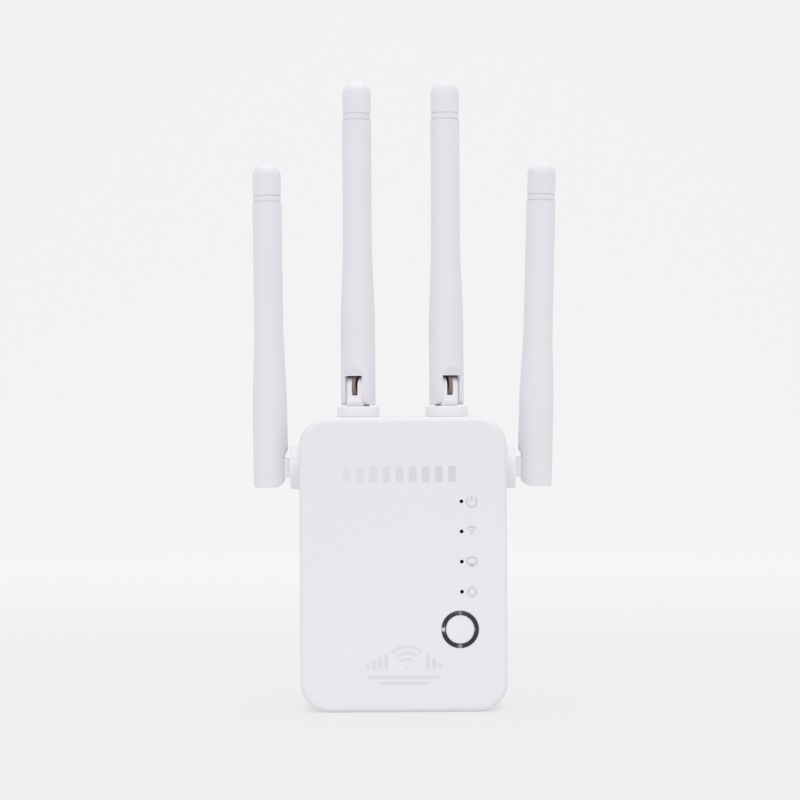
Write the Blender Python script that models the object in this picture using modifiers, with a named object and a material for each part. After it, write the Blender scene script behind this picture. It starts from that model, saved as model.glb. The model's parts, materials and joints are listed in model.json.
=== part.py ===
"""A plug-in wireless range extender: a slab case with a mains plug behind and four folding antennas.

Frame: +Z up, -Y is the front face, X = 0 is the case's middle. The origin is on the bottom face,
between the two network sockets. Everything is in metres. Blender 4.5.
"""

import math

import bmesh
import bpy
from mathutils import Matrix, Vector

MM = 0.001

# Driving dimensions of the case
CASE_WIDTH = 72.0 * MM
CASE_HEIGHT = 102.3 * MM
FRONT_Y = -14.5 * MM
BACK_Y = 14.5 * MM
PARTING_Y = -6.0 * MM
CORNER_RADIUS = 10.3 * MM
FRONT_EDGE_RADIUS = 2.0 * MM
BACK_EDGE_RADIUS = 3.2 * MM
WALL = 1.8 * MM
GAP = 0.3 * MM
OVERRUN = 1.0 * MM

# The lip of the front cover that slides inside the back cover
LIP_THICKNESS = 0.9 * MM
LIP_REACH = 2.0 * MM
LIP_ROOT = 3.0 * MM

# Case screws, in from the back
SCREW_X = 28.3 * MM
SCREW_ZS = (9.7 * MM, 92.8 * MM)
BOSS_RADIUS = 3.1 * MM
SCREW_SHANK_RADIUS = 1.05 * MM
SCREW_PILOT_RADIUS = 1.25 * MM
SCREW_CLEARANCE_RADIUS = 1.5 * MM
SCREW_HEAD_RADIUS = 2.2 * MM
SCREW_HEAD_HEIGHT = 1.7 * MM
SCREW_WELL_RADIUS = 2.6 * MM
SCREW_SEAT_Y = 2.0 * MM
SCREW_TIP_Y = -11.6 * MM

# Front controls
LED_X = 20.2 * MM
LED_TOP_Z = 72.9 * MM
LED_PITCH = 10.43 * MM
LED_NAMES = ("power", "wireless", "network", "pairing")
LED_HOLE_RADIUS = 0.58 * MM
BUTTON_X = 19.5 * MM
BUTTON_Z = 28.6 * MM
RING_OUTER_RADIUS = 6.5 * MM
RING_INNER_RADIUS = 5.1 * MM
RING_HOLE_RADIUS = 6.0 * MM
RING_PROUD = 0.35 * MM
BUTTON_RADIUS = 4.85 * MM

# Circuit boards
BOARD_THICKNESS = 1.6 * MM
MAIN_BOARD_FRONT_Y = -8.6 * MM
MAIN_BOARD_HALF_WIDTH = 24.0 * MM
MAIN_BOARD_ZS = (3.4 * MM, 80.0 * MM)
POWER_BOARD_FRONT_Y = 7.2 * MM
POWER_BOARD_HALF_WIDTH = 22.0 * MM
POWER_BOARD_ZS = (38.0 * MM, 88.0 * MM)

# Network sockets, in the bottom face
SOCKET_XS = (-11.2 * MM, 11.2 * MM)
SOCKET_WIDTH = 16.0 * MM
SOCKET_DEPTH = 13.0 * MM
SOCKET_LENGTH = 20.0 * MM
SOCKET_MOUTH_WIDTH = 11.8 * MM
SOCKET_MOUTH_DEPTH = 6.9 * MM
SOCKET_MOUTH_LENGTH = 14.0 * MM
LATCH_WIDTHS = (6.4 * MM, 3.4 * MM)
LATCH_DEPTH = 1.3 * MM

# Mains plug: a flat two-pin plug on a long neck
PLUG_Z = 61.0 * MM
NECK_WIDTH = 35.3 * MM
NECK_HEIGHT = 13.7 * MM
NECK_CHAMFER = 4.6 * MM
NECK_END_Y = BACK_Y + 18.0 * MM
FLANGE_MARGIN = 2.0 * MM
FLANGE_THICKNESS = 1.5 * MM
PIN_X = 9.3 * MM
PIN_RADIUS = 2.0 * MM
PIN_NECK_RADIUS = 1.4 * MM
PIN_TAIL_RADIUS = 0.9 * MM
PIN_LENGTH = 19.0 * MM
PIN_SLEEVE_LENGTH = 10.0 * MM
PIN_SLEEVE_RADIUS = 1.9 * MM
PIN_FIT_GAP = 0.2 * MM

# Antennas. Each is made round its own hinge point: +Z is the straight antenna, -Y is the way it folds.
ANTENNA_Y = 3.0 * MM
TOP_ANTENNA_X = 15.6 * MM
SIDE_ANTENNA_Z = 84.2 * MM
COLLAR_RADIUS = 7.5 * MM
COLLAR_HEIGHT = 3.7 * MM
COLLAR_SPIGOT_RADIUS = 5.3 * MM
COLLAR_SPIGOT_REACH = 1.2 * MM
HINGE_STANDOFF = 7.0 * MM
KNUCKLE_RADIUS = 3.3 * MM
STEM_RADIUS = 3.2 * MM
KNUCKLE_WIDTH = 5.8 * MM
KNUCKLE_LIP_RADIUS = 4.2 * MM
KNUCKLE_LIP_HEIGHT = 1.4 * MM
TRUNNION_RADIUS = 1.2 * MM
TRUNNION_REACH = 4.1 * MM
CABLE_SLOT_WIDTH = 2.2 * MM
CABLE_SLOT_BOTTOM = -3.2 * MM
COAX_RADIUS = 0.7 * MM
COAX_BEND_ROOM = 0.98 * MM
SLEEVE_RADIUS = 6.1 * MM
SLEEVE_BOTTOM = -6.7 * MM
SLEEVE_TOP = 19.5 * MM
WINDOW_TOP = 3.7 * MM
WINDOW_CHAMFER_TOP = 6.7 * MM
WINDOW_FLAT = 5.2 * MM
SLOT_WIDTH = 6.4 * MM
SLOT_BACK = 3.6 * MM
TUBE_RADIUS = 5.12 * MM
TUBE_TIP = 108.0 * MM
TAPER_END = 52.0 * MM
TUBE_BORE_RADIUS = 3.9 * MM
TUBE_INNER_RADIUS = 3.4 * MM
TUBE_SPIGOT_LENGTH = 4.0 * MM
TIP_LENGTH = 11.5 * MM
GROOVE_WIDTH = 0.5 * MM
GROOVE_DEPTH = 0.4 * MM
GROOVE_PITCH = 2.1 * MM

ROUND_STEPS = 24
SMALL_STEPS = 14
CORNER_STEPS = 6

# Each antenna: its name, its hinge point's foot on the case, the turn that takes +Z out of the case and
# -Y to the way it folds, how far it is swivelled, and how far it is folded.
ANTENNAS = (
    ("left", "side", -1, 0.0, 89.5),
    ("top_left", "top", -1, -20.0, 0.0),
    ("top_right", "top", 1, 20.0, 0.0),
    ("right", "side", 1, 0.0, 88.3),
)


def clear_scene():
    for obj in list(bpy.data.objects):
        bpy.data.objects.remove(obj, do_unlink=True)


def new_collection(name):
    collection = bpy.data.collections.new(name)
    bpy.context.scene.collection.children.link(collection)
    return collection


def new_material(name, colour, roughness, metallic=0.0):
    material = bpy.data.materials.new(name)
    material.use_nodes = True
    shader = material.node_tree.nodes["Principled BSDF"]
    shader.inputs["Base Color"].default_value = (*colour, 1.0)
    shader.inputs["Roughness"].default_value = roughness
    shader.inputs["Metallic"].default_value = metallic
    return material


clear_scene()
PARTS = new_collection("wifi_range_extender")
HELPERS = new_collection("cutters")

GLOSS_WHITE = new_material("gloss_white", (0.80, 0.80, 0.84), 0.18)
CASE_WHITE = new_material("case_white", (0.80, 0.80, 0.83), 0.35)
ANTENNA_WHITE = new_material("antenna_white", (0.76, 0.75, 0.79), 0.45)
DARK_CHROME = new_material("dark_chrome", (0.10, 0.105, 0.115), 0.16, 1.0)
NICKEL = new_material("nickel", (0.62, 0.61, 0.58), 0.25, 1.0)
STEEL = new_material("steel", (0.50, 0.50, 0.52), 0.35, 1.0)
BRASS = new_material("brass", (0.72, 0.53, 0.25), 0.30, 1.0)
ALUMINIUM = new_material("aluminium", (0.72, 0.73, 0.75), 0.35, 1.0)
BLACK_PLASTIC = new_material("black_plastic", (0.02, 0.02, 0.022), 0.5)
BOARD_GREEN = new_material("board_green", (0.03, 0.19, 0.08), 0.45)
LED_CLEAR = new_material("led_clear", (0.75, 0.85, 0.78), 0.2)
COAX_BROWN = new_material("coax_brown", (0.22, 0.13, 0.12), 0.5)
TAPE_YELLOW = new_material("tape_yellow", (0.75, 0.60, 0.12), 0.5)


def add_object(name, mesh, material=None):
    """A part if it has a material, and a helper for Booleans if it hasn't."""
    obj = bpy.data.objects.new(name, mesh)
    if material is None:
        HELPERS.objects.link(obj)
        obj.hide_render = True
        obj.display_type = "WIRE"
    else:
        PARTS.objects.link(obj)
        obj.data.materials.append(material)
    return obj


def mesh_from(bm, name):
    mesh = bpy.data.meshes.new(name)
    bm.to_mesh(mesh)
    bm.free()
    return mesh


def shade_round(obj, angle=35.0):
    obj.data.shade_smooth()
    obj.data.set_sharp_from_angle(angle=math.radians(angle))
    return obj


def add_box(name, low, high, material=None):
    """A box between two corners."""
    low, high = Vector(low), Vector(high)
    bm = bmesh.new()
    bmesh.ops.create_cube(bm, size=1.0)
    bmesh.ops.scale(bm, vec=high - low, verts=bm.verts)
    obj = add_object(name, mesh_from(bm, name), material)
    obj.location = (low + high) / 2
    return obj


def add_cylinder(name, radius, start, end, material=None, steps=SMALL_STEPS):
    """A cylinder from one end's centre to the other's."""
    start, end = Vector(start), Vector(end)
    axis = end - start
    bm = bmesh.new()
    bmesh.ops.create_cone(
        bm, cap_ends=True, segments=steps, radius1=radius, radius2=radius, depth=axis.length
    )
    obj = add_object(name, mesh_from(bm, name), material)
    obj.location = (start + end) / 2
    obj.rotation_euler = axis.to_track_quat("Z", "Y").to_euler()
    return shade_round(obj)


def add_turned(name, profile, material=None, steps=ROUND_STEPS, closed=False):
    """A profile of (radius, height) turned about Z. It runs down the outer side."""
    mesh = bpy.data.meshes.new(name)
    points = [(radius, 0.0, height) for radius, height in profile]
    edges = [(i, i + 1) for i in range(len(points) - 1)]
    if closed:
        edges.append((len(points) - 1, 0))
    mesh.from_pydata(points, edges, [])
    obj = add_object(name, mesh, material)
    turn = obj.modifiers.new("turn", "SCREW")
    turn.steps = steps
    turn.render_steps = steps
    turn.use_merge_vertices = True
    turn.merge_threshold = 1e-5
    turn.use_smooth_shade = True
    return obj


def add_tube(name, points, radius, material, sides=2):
    """A wire along points, as a curve with filled caps."""
    curve = bpy.data.curves.new(name, "CURVE")
    curve.dimensions = "3D"
    curve.bevel_depth = radius
    curve.bevel_resolution = sides
    curve.use_fill_caps = True
    spline = curve.splines.new("POLY")
    spline.points.add(len(points) - 1)
    for knot, point in zip(spline.points, points):
        knot.co = (*point, 1.0)
    return add_object(name, curve, material)


def combine(target, other, operation):
    """target joined with, or cut by, another mesh object."""
    boolean = target.modifiers.new(f"{operation.lower()}_{other.name}", "BOOLEAN")
    boolean.operation = operation
    boolean.solver = "EXACT"
    boolean.object = other
    return target


def cut(target, *others):
    for other in others:
        combine(target, other, "DIFFERENCE")
    return target


def join(target, *others):
    for other in others:
        combine(target, other, "UNION")
    return target


def parent_to(empty, *objects):
    for obj in objects:
        obj.parent = empty


def rounded_slab(y_low, y_high, inset):
    """The case's outline, moved in by inset, between two depths."""
    bm = bmesh.new()
    bmesh.ops.create_cube(bm, size=1.0)
    size = Vector((CASE_WIDTH - 2 * inset, y_high - y_low, CASE_HEIGHT - 2 * inset))
    bmesh.ops.scale(bm, vec=size, verts=bm.verts)
    middle = Vector((0, (y_low + y_high) / 2, CASE_HEIGHT / 2))
    bmesh.ops.translate(bm, vec=middle, verts=bm.verts)
    radius = CORNER_RADIUS - inset
    long_edges = [e for e in bm.edges if abs((e.verts[0].co - e.verts[1].co).normalized().y) > 0.9]
    bmesh.ops.bevel(
        bm, geom=long_edges, offset=radius, segments=CORNER_STEPS, profile=0.5, affect="EDGES"
    )
    return bm


def case_block(name, closed_y, open_y, edge_radius, material):
    """Half of the case as a solid block, rounded along its closed face's rim."""
    bm = rounded_slab(min(closed_y, open_y), max(closed_y, open_y), 0.0)
    closed_face = min(bm.faces, key=lambda face: abs(face.calc_center_median().y - closed_y))
    rim = list(closed_face.edges)
    bmesh.ops.bevel(bm, geom=rim, offset=edge_radius, segments=3, profile=0.5, affect="EDGES")
    return shade_round(add_object(name, mesh_from(bm, name), material))


def slab_helper(name, y_low, y_high, inset):
    return add_object(name, mesh_from(rounded_slab(y_low, y_high, inset), name))


def screw_places():
    return [
        (side * SCREW_X, z, f"{row}_{label}")
        for z, row in zip(SCREW_ZS, ("lower", "upper"))
        for side, label in ((-1, "left"), (1, "right"))
    ]


def led_zs():
    return [LED_TOP_Z - i * LED_PITCH for i in range(len(LED_NAMES))]


def make_front_cover():
    """The front face and its walls, with a lip that slides inside the back cover."""
    rim = PARTING_Y - GAP
    lip_inset = WALL + GAP
    step_y = rim - LIP_ROOT
    cover = case_block("front_cover", FRONT_Y, rim, FRONT_EDGE_RADIUS, GLOSS_WHITE)
    join(cover, slab_helper("lip", rim - OVERRUN, rim + LIP_REACH, lip_inset))
    hollow = slab_helper("front_hollow", FRONT_Y + WALL, step_y, WALL)
    hollow_end = rim + LIP_REACH + OVERRUN
    lip_hollow = slab_helper("lip_hollow", step_y - OVERRUN, hollow_end, lip_inset + LIP_THICKNESS)
    cut(cover, hollow, lip_hollow)
    room_x = SOCKET_XS[1] + SOCKET_WIDTH / 2 + GAP
    room_low = (-room_x, MAIN_BOARD_FRONT_Y + BOARD_THICKNESS, WALL)
    cut(cover, add_box("socket_room", room_low, (room_x, 0, WALL + 3 * LIP_THICKNESS)))
    inner_face = FRONT_Y + WALL
    for x, z, label in screw_places():
        boss_end = (x, PARTING_Y - GAP, z)
        boss = add_cylinder(f"front_boss_{label}", BOSS_RADIUS, (x, inner_face - OVERRUN, z), boss_end)
        pilot_start = (x, inner_face + 0.4 * MM, z)
        pilot_end = (x, OVERRUN, z)
        pilot = add_cylinder(f"pilot_{label}", SCREW_PILOT_RADIUS, pilot_start, pilot_end)
        join(cover, boss)
        cut(cover, pilot)
    for x in (-18.0 * MM, 12.0 * MM):
        for z in (34.0 * MM, 77.0 * MM):
            name = f"board_post_{round(x / MM)}_{round(z / MM)}"
            post_end = (x, MAIN_BOARD_FRONT_Y - GAP, z)
            join(cover, add_cylinder(name, 1.6 * MM, (x, inner_face - OVERRUN, z), post_end))
    for label, z in zip(LED_NAMES, led_zs()):
        hole_start = (LED_X, FRONT_Y - OVERRUN, z)
        hole_end = (LED_X, inner_face + OVERRUN, z)
        cut(cover, add_cylinder(f"hole_{label}", LED_HOLE_RADIUS, hole_start, hole_end))
    ring_start = (BUTTON_X, FRONT_Y - OVERRUN, BUTTON_Z)
    ring_end = (BUTTON_X, inner_face + OVERRUN, BUTTON_Z)
    return cut(cover, add_cylinder("ring_hole", RING_HOLE_RADIUS, ring_start, ring_end, steps=ROUND_STEPS))


def make_vents(cover):
    """Two rows of upright slots in the back face, above and below the plug."""
    for row, z in (("upper", 86.0 * MM), ("lower", 34.0 * MM)):
        for i in range(-4, 5):
            x = i * 4.2 * MM
            low = (x - 0.8 * MM, BACK_Y - WALL - OVERRUN, z - 5.5 * MM)
            high = (x + 0.8 * MM, BACK_Y + OVERRUN, z + 5.5 * MM)
            cut(cover, add_box(f"vent_{row}_{i + 4}", low, high))


def antenna_foot(place, side):
    """The middle of a collar's foot on the case, and the way out of the case there."""
    if place == "top":
        return Vector((side * TOP_ANTENNA_X, ANTENNA_Y, CASE_HEIGHT)), Vector((0, 0, 1))
    return Vector((side * CASE_WIDTH / 2, ANTENNA_Y, SIDE_ANTENNA_Z)), Vector((side, 0, 0))


def antenna_holes():
    """Where each collar's spigot passes the case's wall: a name, the centre outside, and the way out."""
    holes = []
    for name, place, side, _, _ in ANTENNAS:
        holes.append((name, *antenna_foot(place, side)))
    return holes


def make_back_cover():
    """The back face and its walls, holed for the collars, the plug's neck and the sockets."""
    inner_face = BACK_Y - WALL
    cover = case_block("rear_cover", BACK_Y, PARTING_Y, BACK_EDGE_RADIUS, CASE_WHITE)
    cut(cover, slab_helper("back_hollow", PARTING_Y - OVERRUN, inner_face, WALL))
    for x, z, label in screw_places():
        start, end = (x, PARTING_Y, z), (x, inner_face + OVERRUN, z)
        join(cover, add_cylinder(f"back_boss_{label}", BOSS_RADIUS + 0.6 * MM, start, end))
        hole_start, hole_end = (x, PARTING_Y - OVERRUN, z), (x, SCREW_SEAT_Y + OVERRUN, z)
        well_start, well_end = (x, SCREW_SEAT_Y, z), (x, BACK_Y + OVERRUN, z)
        cut(
            cover,
            add_cylinder(f"clearance_{label}", SCREW_CLEARANCE_RADIUS, hole_start, hole_end),
            add_cylinder(f"well_{label}", SCREW_WELL_RADIUS, well_start, well_end),
        )
    for name, centre, out in antenna_holes():
        radius = COLLAR_SPIGOT_RADIUS + GAP
        start, end = centre - 3 * WALL * out, centre + WALL * out
        cut(cover, add_cylinder(f"collar_hole_{name}", radius, start, end, steps=ROUND_STEPS))
    half = Vector((NECK_WIDTH / 2 + GAP, 0, NECK_HEIGHT / 2 + GAP))
    low = Vector((0, inner_face - OVERRUN, PLUG_Z)) - half
    high = Vector((0, BACK_Y + OVERRUN, PLUG_Z)) + half
    cut(cover, chamfered_block("neck_hole", low, high, NECK_CHAMFER))
    mouth_x = SOCKET_WIDTH / 2 - 0.8 * MM
    mouth_y = SOCKET_DEPTH / 2 - 0.7 * MM
    middle_y = MAIN_BOARD_FRONT_Y + BOARD_THICKNESS + GAP + SOCKET_DEPTH / 2
    for i, x in enumerate(SOCKET_XS):
        low = (x - mouth_x, max(middle_y - mouth_y, PARTING_Y + 1.4 * MM), -OVERRUN)
        high = (x + mouth_x, middle_y + mouth_y, WALL + OVERRUN)
        cut(cover, add_box(f"socket_mouth_{i}", low, high))
    make_vents(cover)
    return cover


def chamfered_block(name, low, high, chamfer, material=None):
    """A block whose four edges along Y are cut off flat."""
    bm = bmesh.new()
    bmesh.ops.create_cube(bm, size=1.0)
    bmesh.ops.scale(bm, vec=Vector(high) - Vector(low), verts=bm.verts)
    long_edges = [e for e in bm.edges if abs((e.verts[0].co - e.verts[1].co).normalized().y) > 0.9]
    bmesh.ops.bevel(bm, geom=long_edges, offset=chamfer, segments=1, affect="EDGES")
    obj = add_object(name, mesh_from(bm, name), material)
    obj.location = (Vector(low) + Vector(high)) / 2
    return obj


def make_plug():
    """The neck, with its flange inside the case, and two round pins with insulating sleeves."""
    inner_face = BACK_Y - WALL
    half = Vector((NECK_WIDTH / 2, 0, NECK_HEIGHT / 2))
    flange_front = inner_face - GAP - FLANGE_THICKNESS
    low = Vector((0, flange_front + FLANGE_THICKNESS / 2, PLUG_Z)) - half
    high = Vector((0, NECK_END_Y, PLUG_Z)) + half
    housing = chamfered_block("plug_housing", low, high, NECK_CHAMFER, CASE_WHITE)
    margin = Vector((FLANGE_MARGIN, 0, FLANGE_MARGIN))
    flange_low = Vector((0, flange_front, PLUG_Z)) - half - margin
    flange_high = Vector((0, inner_face - GAP, PLUG_Z)) + half + margin
    join(housing, chamfered_block("flange", flange_low, flange_high, NECK_CHAMFER))
    tail_end = POWER_BOARD_FRONT_Y - 1.2 * MM
    pin_end = NECK_END_Y + PIN_LENGTH
    sleeve_end = NECK_END_Y + PIN_SLEEVE_LENGTH
    tail_top = POWER_BOARD_FRONT_Y + BOARD_THICKNESS + 1.0 * MM
    nose = 1.0 * MM
    profile = [
        (0.0, pin_end),
        (PIN_RADIUS - nose, pin_end),
        (PIN_RADIUS - 0.3 * nose, pin_end - 0.3 * nose),
        (PIN_RADIUS, pin_end - nose),
        (PIN_RADIUS, sleeve_end + PIN_FIT_GAP),
        (PIN_NECK_RADIUS, sleeve_end + PIN_FIT_GAP),
        (PIN_NECK_RADIUS, tail_top),
        (PIN_TAIL_RADIUS, tail_top),
        (PIN_TAIL_RADIUS, tail_end),
        (0.0, tail_end),
    ]
    sleeve_inner = PIN_NECK_RADIUS + PIN_FIT_GAP
    sleeve_start = NECK_END_Y - 3.0 * MM
    sleeve_profile = [
        (PIN_SLEEVE_RADIUS, sleeve_end),
        (PIN_SLEEVE_RADIUS, sleeve_start),
        (sleeve_inner, sleeve_start),
        (sleeve_inner, sleeve_end),
    ]
    along_y = Matrix.Rotation(math.radians(-90), 4, "X")
    for label, side in (("left", -1), ("right", 1)):
        x = side * PIN_X
        place = Matrix.Translation((x, 0, PLUG_Z)) @ along_y
        add_turned(f"plug_pin_{label}", profile, NICKEL, steps=SMALL_STEPS).matrix_world = place
        sleeve = add_turned(
            f"pin_sleeve_{label}", sleeve_profile, BLACK_PLASTIC, steps=SMALL_STEPS, closed=True
        )
        sleeve.matrix_world = place
        bore_start, bore_end = (x, flange_front - OVERRUN, PLUG_Z), (x, NECK_END_Y + OVERRUN, PLUG_Z)
        seat_start = (x, sleeve_start - GAP, PLUG_Z)
        bore = add_cylinder(f"pin_bore_{label}", PIN_NECK_RADIUS + PIN_FIT_GAP, bore_start, bore_end)
        seat = add_cylinder(f"sleeve_seat_{label}", PIN_SLEEVE_RADIUS + PIN_FIT_GAP, seat_start, bore_end)
        cut(housing, bore, seat)


def make_screws():
    head_base = SCREW_SEAT_Y + GAP / 2
    head_top = head_base + SCREW_HEAD_HEIGHT
    profile = [
        (0.0, head_top),
        (SCREW_HEAD_RADIUS * 0.75, head_top),
        (SCREW_HEAD_RADIUS, head_base + SCREW_HEAD_HEIGHT * 0.5),
        (SCREW_HEAD_RADIUS, head_base),
        (SCREW_SHANK_RADIUS, head_base),
        (SCREW_SHANK_RADIUS, SCREW_TIP_Y + 1.0 * MM),
        (0.0, SCREW_TIP_Y),
    ]
    along_y = Matrix.Rotation(math.radians(-90), 4, "X")
    for x, z, label in screw_places():
        screw = add_turned(f"case_screw_{label}", profile, STEEL, steps=SMALL_STEPS)
        screw.matrix_world = Matrix.Translation((x, 0, z)) @ along_y
        for i, turn in enumerate((0.0, 90.0)):
            arm_low = (-1.2 * MM, -0.35 * MM, head_top - (1.0 + 0.15 * i) * MM)
            arm_high = (1.2 * MM, 0.35 * MM, head_top + OVERRUN)
            arm = add_box(f"cross_{label}_{i}", arm_low, arm_high)
            spin = Matrix.Rotation(math.radians(turn), 4, "Z")
            arm.matrix_world = screw.matrix_world @ spin @ Matrix.Translation(arm.location)
            cut(screw, arm)


def make_button():
    """The dark ring in the cover, the cap that travels in it, and the switch behind."""
    ring_profile = [
        (RING_OUTER_RADIUS - 0.45 * MM, RING_PROUD),
        (RING_OUTER_RADIUS, 0.08 * MM),
        (RING_OUTER_RADIUS, 0.05 * MM),
        (RING_HOLE_RADIUS - 0.15 * MM, 0.05 * MM),
        (RING_HOLE_RADIUS - 0.15 * MM, -WALL - 0.4 * MM),
        (RING_INNER_RADIUS, -WALL - 0.4 * MM),
        (RING_INNER_RADIUS, RING_PROUD - 0.1 * MM),
        (RING_INNER_RADIUS + 0.3 * MM, RING_PROUD),
    ]
    cap_back = -WALL - 0.7 * MM
    cap_profile = [
        (0.0, 0.3 * MM),
        (BUTTON_RADIUS - 0.5 * MM, 0.3 * MM),
        (BUTTON_RADIUS, -0.1 * MM),
        (BUTTON_RADIUS, cap_back),
        (RING_HOLE_RADIUS, cap_back),
        (RING_HOLE_RADIUS, cap_back - 0.6 * MM),
        (0.0, cap_back - 0.6 * MM),
    ]
    face_centre = Matrix.Translation((BUTTON_X, FRONT_Y, BUTTON_Z))
    out_of_front = face_centre @ Matrix.Rotation(math.radians(90), 4, "X")
    ring = add_turned("button_ring", ring_profile, DARK_CHROME, closed=True)
    ring.matrix_world = out_of_front
    cap = add_turned("wps_button", cap_profile, GLOSS_WHITE)
    cap.matrix_world = out_of_front
    switch_half = 2.2 * MM
    switch_top = MAIN_BOARD_FRONT_Y - GAP - 1.0 * MM
    low = (BUTTON_X - switch_half, switch_top, BUTTON_Z - switch_half)
    high = (BUTTON_X + switch_half, MAIN_BOARD_FRONT_Y - GAP, BUTTON_Z + switch_half)
    switch = add_box("wps_switch", low, high, BLACK_PLASTIC)
    well_start = (BUTTON_X, switch_top - OVERRUN, BUTTON_Z)
    well_end = (BUTTON_X, MAIN_BOARD_FRONT_Y - GAP - 0.15 * MM, BUTTON_Z)
    cut(switch, add_cylinder("switch_well", 1.2 * MM, well_start, well_end))
    plunger_start = (BUTTON_X, FRONT_Y - cap_back + 0.6 * MM + GAP, BUTTON_Z)
    plunger_end = (BUTTON_X, switch_top + 0.2 * MM, BUTTON_Z)
    add_cylinder("wps_switch_plunger", 0.9 * MM, plunger_start, plunger_end, BLACK_PLASTIC)


def make_leds():
    """Four diodes on the board, each at the bottom of a black tube in one light shield."""
    diode_top = MAIN_BOARD_FRONT_Y - GAP - 0.7 * MM
    for label, z in zip(LED_NAMES, led_zs()):
        low = (LED_X - 0.8 * MM, diode_top, z - 0.6 * MM)
        high = (LED_X + 0.8 * MM, MAIN_BOARD_FRONT_Y - GAP, z + 0.6 * MM)
        add_box(f"led_{label}", low, high, LED_CLEAR)
    zs = led_zs()
    low = (LED_X - 2.0 * MM, FRONT_Y + WALL + GAP, zs[-1] - 2.5 * MM)
    high = (LED_X + 2.0 * MM, MAIN_BOARD_FRONT_Y - GAP, zs[0] + 2.5 * MM)
    shield = add_box("led_light_shield", low, high, BLACK_PLASTIC)
    for label, z in zip(LED_NAMES, zs):
        tube_start, tube_end = (LED_X, low[1] - OVERRUN, z), (LED_X, high[1] + OVERRUN, z)
        cut(shield, add_cylinder(f"light_tube_{label}", 1.2 * MM, tube_start, tube_end))


def make_boards():
    """The main board in front and the power board behind, with the parts that stand on them."""
    back = MAIN_BOARD_FRONT_Y + BOARD_THICKNESS
    low = (-MAIN_BOARD_HALF_WIDTH, MAIN_BOARD_FRONT_Y, MAIN_BOARD_ZS[0])
    high = (MAIN_BOARD_HALF_WIDTH, back, MAIN_BOARD_ZS[1])
    add_box("main_board", low, high, BOARD_GREEN)
    on_board = back + GAP
    for name, middle_x, middle_z, width, height, thickness in (
        ("wireless_chip", 0.0, 49 * MM, 14 * MM, 14 * MM, 1.2 * MM),
        ("memory_chip", -15 * MM, 48 * MM, 8 * MM, 12 * MM, 1.2 * MM),
        ("network_transformer", 0.0, 29.5 * MM, 16 * MM, 7 * MM, 2.4 * MM),
    ):
        low = (middle_x - width / 2, on_board, middle_z - height / 2)
        high = (middle_x + width / 2, on_board + thickness, middle_z + height / 2)
        add_box(name, low, high, BLACK_PLASTIC)
    power_front = POWER_BOARD_FRONT_Y
    low = (-POWER_BOARD_HALF_WIDTH, power_front, POWER_BOARD_ZS[0])
    high = (POWER_BOARD_HALF_WIDTH, power_front + BOARD_THICKNESS, POWER_BOARD_ZS[1])
    power = add_box("power_board", low, high, BOARD_GREEN)
    for label, side in (("left", -1), ("right", 1)):
        hole_start = (side * PIN_X, power_front - OVERRUN, PLUG_Z)
        hole_end = (side * PIN_X, power_front + BOARD_THICKNESS + OVERRUN, PLUG_Z)
        cut(power, add_cylinder(f"tail_hole_{label}", PIN_TAIL_RADIUS + PIN_FIT_GAP, hole_start, hole_end))
    stand = power_front - GAP
    add_box("board_header", (14 * MM, on_board, 42 * MM), (16.5 * MM, stand, 54 * MM), BLACK_PLASTIC)
    core_low, core_high = (-6.5 * MM, -4.0 * MM, 67 * MM), (6.5 * MM, stand, 80 * MM)
    core = add_box("power_transformer", core_low, core_high, TAPE_YELLOW)
    bobbin_low, bobbin_high = (-9.5 * MM, -1.5 * MM, 70 * MM), (9.5 * MM, stand - 2.0 * MM, 77 * MM)
    join(core, add_box("bobbin", bobbin_low, bobbin_high))
    for name, radius, x, z, reach in (
        ("input_capacitor", 4.0 * MM, -15.5 * MM, 71.5 * MM, 11.5 * MM),
        ("output_capacitor", 3.2 * MM, 16.0 * MM, 71.5 * MM, 10.0 * MM),
    ):
        add_cylinder(name, radius, (x, stand - reach, z), (x, stand, z), ALUMINIUM)
    fuse_low = Vector((-17 * MM, stand - 1.9 * MM, 46 * MM))
    add_cylinder("mains_fuse", 1.8 * MM, fuse_low, fuse_low + Vector((0, 0, 10 * MM)), STEEL)


def make_sockets():
    """Two network sockets side by side, each open downwards, with the latch's notch towards the back."""
    y_low = MAIN_BOARD_FRONT_Y + BOARD_THICKNESS + GAP
    z_low = WALL + GAP
    for label, x in zip(("left", "right"), SOCKET_XS):
        low = (x - SOCKET_WIDTH / 2, y_low, z_low)
        high = (x + SOCKET_WIDTH / 2, y_low + SOCKET_DEPTH, z_low + SOCKET_LENGTH)
        jack = add_box(f"ethernet_socket_{label}", low, high, STEEL)
        mouth_y = y_low + 2.4 * MM
        mouth_low = (x - SOCKET_MOUTH_WIDTH / 2, mouth_y, z_low - OVERRUN)
        mouth_top = z_low + SOCKET_MOUTH_LENGTH
        mouth_high = (x + SOCKET_MOUTH_WIDTH / 2, mouth_y + SOCKET_MOUTH_DEPTH, mouth_top)
        cut(jack, add_box(f"mouth_{label}", mouth_low, mouth_high))
        for i, width in enumerate(LATCH_WIDTHS):
            notch_y = mouth_high[1] + i * LATCH_DEPTH - 0.1 * MM
            notch_low = (x - width / 2, notch_y, z_low - OVERRUN)
            notch_high = (x + width / 2, notch_y + LATCH_DEPTH + 0.1 * MM, mouth_top - 2 * MM)
            cut(jack, add_box(f"notch_{label}_{i}", notch_low, notch_high))


def smooth_step(t):
    t = min(max(t, 0.0), 1.0)
    return t * t * (3 - 2 * t)


def tube_radius(height):
    """The antenna's outer radius: wide at the sleeve, and an even tube past the taper."""
    t = (height - SLEEVE_TOP) / (TAPER_END - SLEEVE_TOP)
    return SLEEVE_RADIUS + (TUBE_RADIUS - SLEEVE_RADIUS) * smooth_step(t)


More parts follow.
